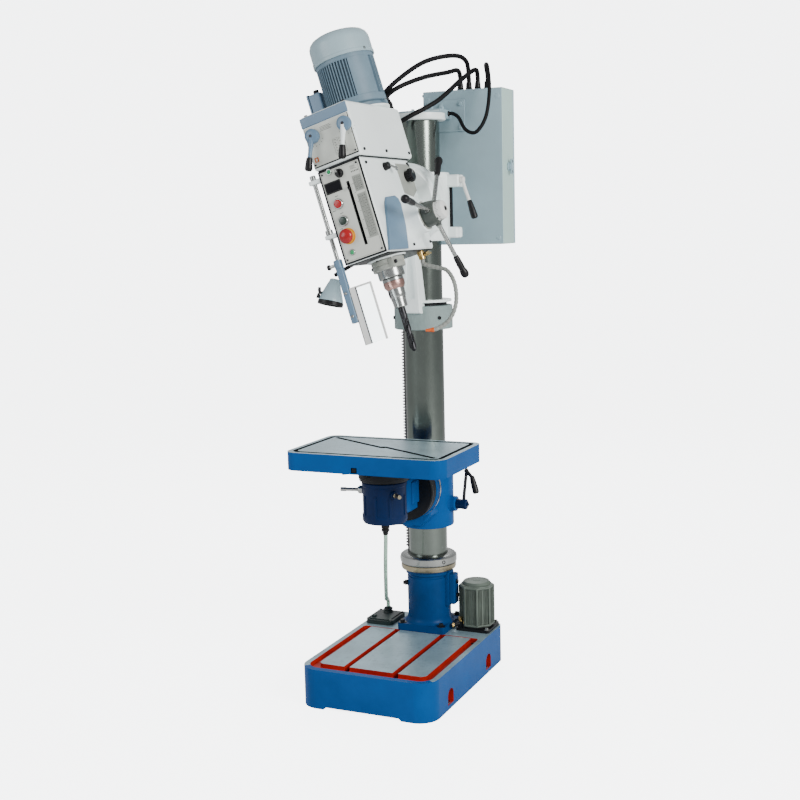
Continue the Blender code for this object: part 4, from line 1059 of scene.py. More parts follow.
def make_head_bracket():
    sleeve = Shape().turned(ring(0.088, BORE_R, 1.335, 1.54, 0.005), steps=96)
    sleeve.carved(Shape().box((0.04, 0.0185, 1.3), (0.13, 0.0255, 1.58), 0, 1))
    body = Shape().box((-0.084, -0.112, 1.365), (0.084, -0.01, 1.525), 0.008, segments=4)
    body.carved(Shape().rod((0, 0, 1.2), (0, 0, 1.7), BORE_R, edge=0, steps=96))
    body.turned(mm(
        (0, -135), (117.5, -135), (122, -132.5), (122, -127), (118.5, -125.5), (118.5, -123.5), (122, -122),
        (122, -113), (119, -111.5), (119, -109), (121.5, -108), (121.5, -104.5), (119, -103), (0, -103),
    ), SWIVEL, BACK, steps=128)
    web = mm((-26, 1345), (-20, 1270), (-34, 1120), (34, 1120), (20, 1270), (26, 1345))
    ribs = Shape().slab(web, 0.05, (0, -0.05, 0), FRONT, 0.005)
    ribs.carved(
        Shape().rod((0, 0, 1.0), (0, 0, 1.6), BORE_R, edge=0, steps=96),
        Shape().slab(
            mm((-11, 1325), (-10, 1275), (-18, 1165), (18, 1165), (10, 1275), (11, 1325)), 0.012,
            (0, -0.0925, 0), FRONT, 0,
        ),
    )
    body.turned(ring(0.09, BORE_R, 1.068, 1.14, 0.003), mat=1, steps=112)
    # Painted shade: the narrow ring in the groove between the two collar rings is near-black.
    body.turned(ring(0.0875, BORE_R, 1.15, 1.1575, 0.0015), steps=112).turned(
        ring(0.073, BORE_R, 1.1395, 1.1505, 0.001), mat=2, steps=96,
    )
    for x, high in ((0.124, (1.495, 1.532)), (0.118, (1.343, 1.376))):
        body.box((0.06, 0.0245, high[0]), (x, 0.044, high[1]), 0.006, segments=4).box(
            (0.06, -0.004, high[0]), (x, 0.0195, high[1]), 0.006, segments=4,
        )
    # Painted shade: a near-black sheet in the gap between the two clamp lugs.
    body.box((0.066, 0.0185, 1.372), (0.094, 0.026, 1.5), 0.001, 2)
    body.merged(sleeve).merged(ribs)
    piece(
        "head_bracket_body", body, [WHITE, FRAME_GREY, SHADOW_BLACK], "head_bracket",
        ["head_bracket"],
    )
    trim = Shape()
    for angle in (35, 145, 270):
        a = math.radians(angle)
        trim.bolt((0.103 * math.cos(a), -0.1035, 1.445 + 0.103 * math.sin(a)), BACK, 0.0155)
    trim.bolt((0.1, 0.0435, 1.3595), BACK, 0.0145).bolt((0.104, 0.0435, 1.5135), BACK, 0.0145)
    for angle in (215, 325):
        a = math.radians(angle)
        out = Vector((math.cos(a), math.sin(a), 0))
        trim.screw(out * 0.0898 + Vector((0, 0, 1.104)), out, 0.0055)
    piece("head_bracket_fasteners", trim, DARK, "head_bracket")
    scale = Shape()
    for i in range(46):
        spot = spun(SWIVEL, math.radians(45 - 2 * i), "Y")
        scale.box(
            (-0.0004, -0.1218, 0.12195), (0.0004, -0.114 if i % 5 else -0.1132, 0.12235), 0.00008, 1,
            place=spot,
        )
    piece("head_tilt_scale", scale, INK, "head_bracket")
    at = Vector((0.1243, 0.01, 1.516))
    lever = Shape().turned(mm((0, 14), (7.5, 14), (9.2, 12.5), (9.5, 2), (8.5, 0.2), (0, 0.2)), at, RIGHT)
    lever.tube(
        [
            at + Vector(p)
            for p in ((0.007, 0, 0), (0.01, 0, -0.008), (0.018, 0, -0.032), (0.031, 0, -0.068))
        ],
        0.0052,
    )
    piece("head_clamp_arm", lever, IVORY, "head_clamp", ["head_clamp_lever"])
    grip = Shape().turned(mm(
        (0, 57), (6.5, 57), (9.8, 54.5), (10.8, 49), (10, 30), (8.5, 10), (7.2, 1.5), (6, 0), (0, 0),
    ), at + Vector((0.029, 0, -0.062)), (0.018, 0, -0.054))
    piece("head_clamp_grip", grip, BLACK, "head_clamp")


# ---- Head


def make_lower_housing():
    body = Shape(HEAD).box((-0.068, -0.485, -0.155), (0.068, -0.165, 0.1135), 0.009, segments=4)
    # Painted shade: the walls of the spindle bore and of the pointer's way are near-black.
    bore = Shape(HEAD).rod((0, SPINDLE_Y, -0.2), (0, SPINDLE_Y, 0.2), 0.0378, edge=0, steps=80, mat=2)
    way = Shape(HEAD).box((0.0095, -0.5, -0.148), (0.0185, SPINDLE_Y, 0.072), 0, 2)
    body.carved(bore, way)
    side = mm(
        (-484, -152), (-440, -62), (-420, -18), (-405, -3), (-345, 2), (-328, -6), (-320, -24), (-334, -85),
        (-358, -152),
    )
    body.slab([(-z, y) for y, z in side][::-1], 0.0085, (0.0665, 0, 0), RIGHT, 0.0045, 1, 4)
    body.turned(
        mm((0, 112), (44, 112), (46, 110), (47.5, 92), (50, 78), (56, 71), (60, 66), (0, 66)), FEED, RIGHT,
        steps=80,
    )
    body.turned(mm(
        (0, -135.3), (108, -135.3), (112, -138), (112, -144), (109.5, -145.5), (109.5, -147.5), (112, -149),
        (112, -166), (108.5, -170), (0, -170),
    ), (0, 0, 0), BACK, steps=128)
    body.box((-0.092, -0.33, -0.15), (-0.06, -0.29, -0.11), 0.004, segments=3)
    for low in (0.085, -0.07):
        body.box((-0.104, -0.4849, low), (-0.06, -0.462, low + 0.012), 0.003, segments=3)
    # Painted shade: thin near-black strips at the seam with the upper housing and along the underside, and a
    # near-black frame round the front panel.
    body.box((-0.067, -0.48, 0.1125), (0.067, -0.17, 0.115), 0.0004, 2).box(
        (-0.0625, -0.478, -0.157), (0.0625, -0.172, -0.154), 0.0006, 2,
    )
    rim = Shape(HEAD).box((-0.0665, -0.487, -0.153), (0.065, -0.484, 0.1115), 0.0008, 2)
    body.merged(rim.carved(Shape(HEAD).box((-0.058, -0.49, -0.146), (0.058, -0.48, 0.104), 0, 2)))
    body.turned(mm((37.8, -153), (56, -153), (56, -159), (54, -160.5), (37.8, -160.5)), SPINDLE, steps=80)
    piece("lower_casting", body, [WHITE, SKY, SHADOW_BLACK], "head", ["lower_housing"])
    plates = Shape(HEAD)
    plates.slab(
        mm((-98, -268), (-98, -168), (-20, -168), (0, -205), (-10, -262)), 0.0016, (0.0675, 0, 0), RIGHT,
        0.0006,
    )
    plates.turned(mm((0, 113.4), (40, 113.4), (41.2, 112.4), (41.2, 111.2), (0, 111.2)), FEED, RIGHT)
    piece("side_plates", plates, PLATE_GREY, "head")
    trim = Shape(HEAD)
    for py, pz in ((-0.46, 0.095), (-0.185, 0.1), (-0.185, -0.135), (-0.305, -0.14)):
        trim.screw((0.0682, py, pz), RIGHT, 0.0042)
    for i in range(4):
        a = math.radians(45 + 90 * i)
        trim.screw((0.11, FEED_Y + 0.04 * math.cos(a), FEED_Z + 0.04 * math.sin(a)), RIGHT, 0.0038)
    for i in range(3):
        a = math.radians(20 + 120 * i)
        trim.screw((0.048 * math.cos(a), SPINDLE_Y + 0.048 * math.sin(a), -0.1603), DOWN, 0.004)
    trim.rod((0.0675, -0.178, 0.096), (0.07, -0.178, 0.096), 0.0048, edge=0.0006)
    piece("housing_screws", trim, DARK, "head")
    elbow = Shape(HEAD).rod((0.045, -0.22, -0.156), (0.045, -0.22, -0.18), 0.0098, edge=0.001)
    elbow.bolt((0.045, -0.22, -0.156), DOWN, 0.019, washer=False).rod(
        (0.045, -0.22, -0.168), (0.055, -0.22, -0.168), 0.0072,
    )
    piece("coolant_valve", elbow, BRASS, "head")
    at = Vector((0.0553, -0.22, -0.168))
    tap = Shape(HEAD).turned(
        mm((0, 15.5), (4.5, 15.5), (5.8, 14), (6, 2), (5, 0), (0, 0)), at, RIGHT, steps=32,
    )
    tap.box(
        at + Vector((0.0105, -0.016, -0.0028)), at + Vector((0.0158, 0.016, 0.0028)), 0.0014, segments=3,
    )
    piece("coolant_tap_handle", tap, BRASS, "coolant_tap", ["coolant_tap"])


def make_upper_housing():
    body = Shape(HEAD).box((-0.076, -0.485, 0.115), (0.076, -0.14, 0.268), 0.01, segments=4)
    # Painted shade: the inside walls and the motor shaft's hole are near-black.
    body.carved(
        Shape(HEAD).box((-0.068, -0.474, 0.1), (0.068, -0.152, 0.257), 0, 2),
        Shape(HEAD).rod((0, MOTOR_Y, 0.2), (0, MOTOR_Y, 0.3), 0.0145, edge=0, mat=2),
    )
    body.box((-0.0735, -0.488, 0.236), (0.0735, -0.4835, 0.264), 0.0018, 1, 3)
    # Painted shade: a near-black sheet behind the speed plate shows as a dark rim round it.
    body.box((-0.07, -0.4866, 0.123), (0.07, -0.4842, 0.234), 0.0008, 2)
    body.turned(mm((0, 271.5), (86, 271.5), (88.5, 270), (88.5, 266), (0, 266)), MOTOR_AT, UP, 0, 96)
    piece("upper_casting", body, [WHITE, SKY, SHADOW_BLACK], "head", ["upper_housing"])
    trim = Shape(HEAD)
    for px, py in ((-0.06, -0.468), (0.06, -0.468), (-0.06, -0.156)):
        trim.screw((px, py, 0.268), UP, 0.0052)
    for py in (-0.462, -0.32, -0.165):
        trim.screw((0.0762, py, 0.13), RIGHT, 0.0042).screw((-0.0762, py, 0.13), LEFT, 0.0042)
    piece("cover_screws", trim, DARK, "head")
    glands = Shape(HEAD)
    for x, y in HEAD_GLANDS:
        glands.gland((x, y, 0.2675), UP, 0.0085)
        glands.turned(mm((0, 290), (7.8, 290), (8.6, 279.5), (0, 279.5)), (x, y, 0), steps=24)
    glands.gland((0.05, -0.14, 0.235), BACK, 0.0088)
    piece("head_glands", glands, BLACK, "head")


def fin_outline():
    """The motor body's outline: fins all round but for a smooth pad at the front right."""
    points = []
    pad = (math.radians(-64), math.radians(-10))
    for i in range(60):
        start = math.tau * i / 60 - math.pi
        wide = math.tau / 60
        if pad[0] < start < pad[1]:
            points += [(0.0845 * math.cos(start), 0.0845 * math.sin(start))]
            continue
        for share, r in ((0.0, 0.0775), (0.18, 0.0775), (0.3, 0.0855), (0.6, 0.0855), (0.72, 0.0775)):
            points.append((r * math.cos(start + share * wide), r * math.sin(start + share * wide)))
    return points


def make_motor():
    motor = Shape(HEAD).slab(fin_outline(), 0.112, (0, MOTOR_Y, 0.303), UP, 0.0006, segments=1)
    motor.turned(mm(
        (0, 306), (84.5, 306), (86, 304.5), (86, 288), (84, 286), (80, 285), (74, 284), (74, 270), (0, 270),
    ), MOTOR_AT, steps=112)
    motor.turned(
        mm((0, 433), (83.5, 433), (85.5, 431.5), (85.5, 416), (84, 414), (0, 414)), MOTOR_AT, steps=112,
    )
    for i in range(4):
        a = math.radians(10 + 90 * i)
        foot = spun(MOTOR_AT, a)
        motor.box((0.07, -0.011, 0.2705), (0.087, 0.011, 0.285), 0.003, place=foot)
    motor.box((-0.09, -0.285, 0.305), (-0.07, -0.207, 0.36), 0.003)
    piece("motor_frame", motor, MOTOR, "head", ["motor_body"], angle=25)
    bolts = Shape(HEAD)
    for i in range(4):
        a = math.radians(10 + 90 * i)
        out = Vector((math.cos(a), math.sin(a), 0))
        bolts.bolt(Vector((0, MOTOR_Y, 0.285)) + out * 0.0805, UP, 0.0085)
    for i in range(3):
        a = math.radians(-20 + 120 * i)
        out = Vector((math.cos(a), math.sin(a), 0))
        bolts.screw(Vector((0, MOTOR_Y, 0.433)) + out * 0.0888, out, 0.0042)
    piece("motor_bolts", bolts, STEEL, "head")
    cowl = Shape(HEAD).turned(mm(
        (0, 505), (57, 505), (66, 503.5), (76, 499), (83.5, 492), (88, 483), (89.2, 474), (89.2, 436),
        (90.5, 434.5), (90.5, 427.5), (89.2, 426), (86.8, 426), (86.8, 477), (80, 493.5), (59, 501.8),
        (0, 501.8),
    ), MOTOR_AT, steps=128)
    cutters = []
    for k, (r, count) in enumerate(((0.02, 8), (0.035, 12), (0.05, 16))):
        for i in range(count):
            spot = spun(MOTOR_AT, math.tau * (i + 0.5 * k) / count)
            cutters.append(
                Shape(HEAD).box((r - 0.0052, -0.0021, 0.495), (r + 0.0052, 0.0021, 0.512), 0, 1, place=spot)
            )
    tool = cutters[0]
    for other in cutters[1:]:
        tool.merged(other)
    cowl.carved(tool)
    # Painted shade: a near-black disc behind the grille's slots.
    cowl.turned(mm((0, 501), (60, 501), (60, 499), (0, 499)), MOTOR_AT, mat=1)
    piece("fan_cowl", cowl, [COWL, SHADOW_BLACK], "head", ["motor_cowl"])
    box = Shape(HEAD).box((-0.1225, -0.298, 0.3), (-0.08, -0.194, 0.364), 0.005, segments=4)
    box.box((-0.124, -0.3, 0.298), (-0.117, -0.192, 0.366), 0.003, segments=3)
    box.box((-0.1176, -0.2995, 0.2985), (-0.1164, -0.1925, 0.3655), 0.0002, 1)
    piece("terminal_cover", box, [SKY, RUBBER], "head", ["terminal_box"])
    trim = Shape(HEAD).turned(mm((0, 376), (7, 376), (8.5, 373.5), (8.5, 364), (0, 364)), (-0.1, -0.275, 0))
    for y in (-0.29, -0.202):
        for z in (0.307, 0.357):
            trim.screw((-0.124, y, z), LEFT, 0.0034)
    piece("terminal_gland", trim, BLACK, "head")
    for name in ("motor_rotor", "spindle_gear"):
        recolour(name, IRON)


def drill_flutes():
    """Rings of a two-fluted section that turns as it rises from the point."""
    part, rings, steps, low, high = bmesh.new(), [], 56, -0.429, -0.33
    levels = 90
    for k in range(levels + 1):
        z = low + (high - low) * k / levels
        twist = (z - low) / 0.048 * math.pi
        depth = 0.62 * min(1, max(0, (high - z) / 0.012))
        limit = min(0.0099, 0.0012 + (z - low) * 1.55)
        ring_points = []
        for i in range(steps):
            a = math.tau * i / steps
            dip = max(0.0, math.cos(2 * (a - twist)))
            land = 0.95 if 0.12 < dip < 0.2 else 1.0
            r = limit * (1 - depth * dip ** 0.7) * land
            ring_points.append(part.verts.new((r * math.cos(a), r * math.sin(a), z)))
        rings.append(ring_points)
    for a, b in zip(rings, rings[1:]):
        for i in range(steps):
            j = (i + 1) % steps
            part.faces.new((a[i], a[j], b[j], b[i]))
    part.faces.new(rings[0][::-1])
    part.faces.new(rings[-1])
    return part


def make_quill():
    quill = Shape(HEAD).turned(mm(
        (15.6, 55), (36, 55), (37.5, 53.5), (37.5, -190), (37.5, -210), (36.5, -214), (34, -215),
        (15.6, -215),
    ), SPINDLE, steps=112)
    piece("quill_sleeve", quill, HEAD_STEEL, "quill", ["quill"])
    collar = Shape(HEAD).turned(mm(
        (37.8, -162), (45, -162), (47, -164), (47, -174), (45.5, -175), (45.5, -177), (47, -178),
        (47, -188.5), (45, -190.5), (37.8, -190.5),
    ), SPINDLE, steps=96)
    collar.box(
        (0.04, SPINDLE_Y - 0.05, -0.189), (0.056, SPINDLE_Y - 0.028, -0.164), 0.003,
        place=Matrix.Translation((-0.02, 0.006, 0)),
    )
    piece("quill_collar", collar, PLATE_GREY, "quill")
    trim = Shape(HEAD).bolt((0.0365, SPINDLE_Y - 0.034, -0.1765), RIGHT, 0.0095, washer=False).screw(
        (-0.0455, SPINDLE_Y - 0.01, -0.1765), (-1, -0.2, 0), 0.0045,
    )
    piece("collar_bolt", trim, DARK, "quill")
    pointer = Shape(HEAD).box(
        (0.0112, -0.137 + SPINDLE_Y, 0.0395), (0.0168, SPINDLE_Y - 0.0372, 0.0445), 0.0008,
    )
    pointer.slab(
        mm((11.8, 36), (16.2, 36), (17, 42), (14, 47.5), (11, 42)), 0.003, (0, SPINDLE_Y - 0.134, 0), FRONT,
        0.0006,
    )
    piece("depth_marker", pointer, DARK, "quill", ["depth_pointer"])
    nose = Shape(HEAD).turned(mm(
        (0, 254), (14, 254), (15, 253), (15, -215.3), (28.5, -215.3), (30, -217), (30, -224), (29, -225),
        (0, -225),
    ), SPINDLE, steps=80)
    nose.turned(mm(
        (0, -244), (24, -244), (24, -262), (22.6, -270), (21, -272), (21, -278), (20, -279), (19.2, -298.5),
        (18, -300), (0, -300),
    ), SPINDLE, steps=80)
    for i in range(2):
        spot = spun(SPINDLE, math.pi * i + 0.9)
        nose.box((0.019, -0.004, -0.268), (0.0246, 0.004, -0.25), 0.0012, 1, place=spot)
    piece("spindle_shaft", nose, [HEAD_STEEL, DARK], "spindle", ["spindle"])
    ring_piece = Shape(HEAD).turned(mm(
        (0, -224.8), (30.2, -224.8), (30.6, -226.2), (30, -238), (26.2, -244), (24.5, -247), (0, -247),
    ), SPINDLE, steps=80)
    piece("spindle_nose", ring_piece, COPPER, "spindle")
    drill = Shape(HEAD).turned(
        mm((0, -300.3), (9.4, -300.3), (10, -301.5), (10, -330), (9.2, -332), (0, -332)), SPINDLE, steps=56,
    )
    drill.add(drill_flutes(), 0, Matrix.Translation(SPINDLE))
    piece("twist_drill_flutes", drill, DARK, "spindle", ["twist_drill"], angle=40)


def make_feed():
    hub = Shape(HEAD).turned(mm(
        (0, 152), (30, 152), (32.5, 150.5), (34.5, 140), (36.2, 126), (36.2, 118), (34.5, 116.5),
        (34.5, 115), (36, 114.5), (36, 112.5), (15, 112.3), (14.8, 36.5), (0, 36.5),
    ), FEED, RIGHT, steps=96)
    root = Vector((0.136, FEED_Y, FEED_Z))
    angles = [math.radians(50) + math.tau * i / 3 for i in range(3)]
    leans = [Vector((math.tan(math.radians(4)), math.cos(a), math.sin(a))) for a in angles]
    for a, lean in zip(angles, leans):
        hub.rod(root + lean * 0.026, root + lean * 0.0395, 0.0105, end_radius=0.0092, edge=0.0015, steps=32)
        spot = (0.1525, FEED_Y + 0.0265 * math.cos(a + 1.05), FEED_Z + 0.0265 * math.sin(a + 1.05))
        hub.screw(spot, RIGHT, 0.0035)
    piece("feed_hub_body", hub, OLIVE, "feed_hub", ["feed_hub"])
    for i, lean in enumerate(leans):
        lever = Shape(HEAD).rod(root + lean * 0.0375, root + lean * 0.14, 0.0062, edge=0.0008, steps=40)
        lever.turned(
            mm((0, 6), (7, 6), (8, 5), (8, 1), (7, 0), (0, 0)), root + lean * 0.0392, lean, steps=6,
        )
        piece(f"feed_lever_rod_{i + 1}", lever, STEEL, "feed_hub", [f"feed_lever_{i + 1}"])
        grip = Shape(HEAD).turned(mm(
            (0, 70), (5, 69.4), (9.2, 66.5), (11.6, 61.5), (12.2, 56), (11.7, 50), (10, 45), (9.4, 41),
            (9.6, 30), (9.2, 10), (8.4, 3), (7.2, 0.3), (0, 0.3),
        ), root + lean * 0.1403, lean, steps=48)
        piece(f"feed_grip_cap_{i + 1}", grip, BLACK, "feed_hub", [f"feed_grip_{i + 1}"])
    dial = Shape(HEAD).turned(mm(
        (0, 176.5), (13, 176.5), (15, 175), (23, 174.5), (25, 173), (26.2, 169), (28, 155), (28, 151.5),
        (0, 151.5),
    ), FEED, RIGHT, steps=80)
    dial.turned(mm((0, 179), (6, 179), (7.5, 177.5), (7.5, 176), (0, 176)), FEED, RIGHT, 1, 6)
    for i in range(40):
        spot = spun(FEED, math.tau * i / 40, "X")
        dial.box(
            (0.156, -0.0002, 0.0268), (0.161 if i % 5 else 0.164, 0.0002, 0.0283), 0.00005, 1, 1,
            place=spot,
        )
    piece("feed_dial", dial, [IVORY, INK], "feed_hub")


def mark(shape, low, high, mat=1, face=PANEL_Y, proud=0.0003, edge=0):
    """A print or a thin plate on a panel's face. low and high are its (x, z) corners."""
    shape.box((low[0], face - proud, low[1]), (high[0], face + 0.0002, high[1]), edge, mat)


def chart(shape, low, high, rows, mat, face=PANEL_Y):
    """A printed table: fine ruled lines and short marks that stand for figures."""
    (x0, z0), (x1, z1) = low, high
    for i in range(rows + 1):
        z = z0 + (z1 - z0) * i / rows
        mark(shape, (x0, z - 0.00012), (x1, z + 0.00012), mat, face, 0.00035)
    for x in (x0, x0 + 0.42 * (x1 - x0), x1):
        mark(shape, (x - 0.00012, z0), (x + 0.00012, z1), mat, face, 0.00035)
    for i in range(rows):
        z = z0 + (z1 - z0) * (i + 0.5) / rows
        for k, share in enumerate((0.1, 0.5, 0.74)):
            x = x0 + (x1 - x0) * share
            wide = (x1 - x0) * (0.2 if (i + k) % 2 else 0.15)
            mark(shape, (x, z - 0.00055), (x + wide, z + 0.00055), mat, face, 0.00035)


def make_panels():
    panel = Shape(HEAD).box((-0.06, PANEL_Y, -0.148), (0.06, -0.4853, 0.106), 0.001, segments=3)
    # Painted shade: the walls of the pointer's slot and of the button holes take the black ink.
    tools = [Shape(HEAD).box((0.0095, -0.5, -0.118), (0.0185, -0.48, 0.06), 0, 1)]
    for z, r in ((STOP_Z, 0.0118), (START_Z, 0.0118), (EMERGENCY_Z, 0.0083)):
        tools.append(Shape(HEAD).rod((BUTTON_X, -0.47, z), (BUTTON_X, -0.51, z), r, edge=0, mat=1))
    panel.carved(*tools)
    left, right, foot, top, thin = -0.0575, 0.0575, -0.1455, 0.1035, 0.0004
    mark(panel, (left, foot), (left + thin, top))
    mark(panel, (right - thin, foot), (right, top))
    mark(panel, (left, foot), (right, foot + thin))
    mark(panel, (left, top - thin), (right, top))
    for i in range(33):
        z = 0.048 - 0.005 * i
        long = 0.0042 if i % 5 == 0 else 0.0026
        mark(panel, (0.021, z - 0.0002), (0.021 + long, z + 0.0002))
        if i % 5 == 0:
            mark(panel, (0.0262, z - 0.0007), (0.0285, z + 0.0007))
    for low, high in ((0.025, 0.068), (-0.105, 0.018)):
        mark(panel, (0.03, low), (0.056, high), 2, proud=0.0006, edge=0.0003)
    chart(panel, (0.0325, -0.1), (0.054, 0.013), 16, 1, PANEL_Y - 0.0006)
    chart(panel, (0.0325, 0.029), (0.054, 0.064), 6, 1, PANEL_Y - 0.0006)
    for i in range(5):
        mark(panel, (0.032 + 0.005 * i, 0.078), (0.0345 + 0.005 * i, 0.0815))
        mark(panel, (0.032, 0.086 + 0.0022 * i), (0.05 - 0.003 * (i % 3), 0.0866 + 0.0022 * i))
    for x, z in ((-0.031, 0.0325), (-0.03, -0.0155), (-0.05, -0.004), (-0.045, -0.0555)):
        mark(panel, (x - 0.005, z - 0.0006), (x + 0.005, z + 0.0006))
    for x in (-0.054, 0.054):
        for z in (-0.141, 0.099):
            panel.screw((x, PANEL_Y, z), FRONT, 0.0026, 3)
    piece(
        "control_plate", panel, [BEIGE, INK, PLATE_GREY, DARK], "head", ["control_panel"],
        angle=25,
    )
    face = Shape(HEAD)
    for z in (STOP_Z, START_Z):
        face.turned(
            mm((11.8, 6), (13, 6), (14.5, 4.5), (14.5, 0), (11.8, 0)), (BUTTON_X, PANEL_Y, z), FRONT, 0, 48,
        )
    for x, z in PILOTS:
        face.turned(mm((6, 3), (7.8, 3), (8.6, 2), (8.6, 0), (6, 0)), (x, PANEL_Y, z), FRONT, 0, 40)
    piece("button_bezels", face, STEEL, "head")
    disc = Shape(HEAD).turned(
        mm((8.3, 1.6), (21.5, 1.6), (22.2, 0.8), (22.2, 0), (8.3, 0)), (BUTTON_X, PANEL_Y, EMERGENCY_Z),
        FRONT, 0, 64,
    )
    disc.turned(
        mm((8.3, 6.2), (16.5, 6.2), (18.5, 4.8), (19, 1.6), (8.3, 1.6)), (BUTTON_X, PANEL_Y, EMERGENCY_Z),
        FRONT, 0, 64,
    )
    piece("emergency_ring", disc, YELLOW, "head")
    for i, (x, z) in enumerate(PILOTS):
        lens = Shape(HEAD).turned(
            mm((0, 6.8), (3, 6.4), (5.2, 5), (6.2, 2.8), (6.2, 0), (0, 0)), (x, PANEL_Y, z), FRONT, 0, 40,
        )
        piece(f"pilot_lens_{i + 1}", lens, GREEN_LENS, "head")
    screen = Shape(HEAD).box(
        (-0.056, PANEL_Y - 0.0026, 0.043), (-0.006, PANEL_Y + 0.0003, 0.074), 0.0014, 0, 3,
    )
    screen.box((-0.053, PANEL_Y - 0.003, 0.0465), (-0.009, PANEL_Y - 0.002, 0.0705), 0.0006, 1)
    piece("speed_display", screen, [BLACK, DISPLAY], "head")
    plate = Shape(HEAD).box((-0.068, PANEL_Y, 0.126), (0.068, -0.4853, 0.2335), 0.001, segments=3)
    chart(plate, (0.006, 0.136), (0.042, 0.18), 6, 1)
    for i in range(4):
        mark(plate, (-0.02, 0.212 + 0.0035 * i), (0.015 - 0.004 * (i % 2), 0.2128 + 0.0035 * i))
    plate.slab(mm((-62, 137), (-49, 137), (-49, 150), (-62, 150)), 0.0004, (0, PANEL_Y, 0), FRONT, 0, 2)
    plate.slab(
        mm((-58, 147), (-53, 147), (-53, 143), (-54.5, 139), (-56.5, 139), (-58, 143)), 0.0005,
        (0, PANEL_Y - 0.0002, 0), FRONT, 0, 0,
    )
    for x in SHIFT_X:
        for i in range(7):
            spot = spun((x, 0, SHIFT_Z), math.radians(-60 + 20 * i), "Y")
            plate.box(
                (-0.0004, PANEL_Y - 0.0003, -0.029), (0.0004, PANEL_Y + 0.0002, -0.0255), 0, 1, place=spot,
            )
    for x in (-0.0635, 0.0635):
        plate.screw((x, PANEL_Y, 0.1305), FRONT, 0.0026, 3)
    piece(
        "speed_plate", plate, [BEIGE, INK, RUST_INK, DARK], "head", ["speed_panel"],
        angle=25,
    )


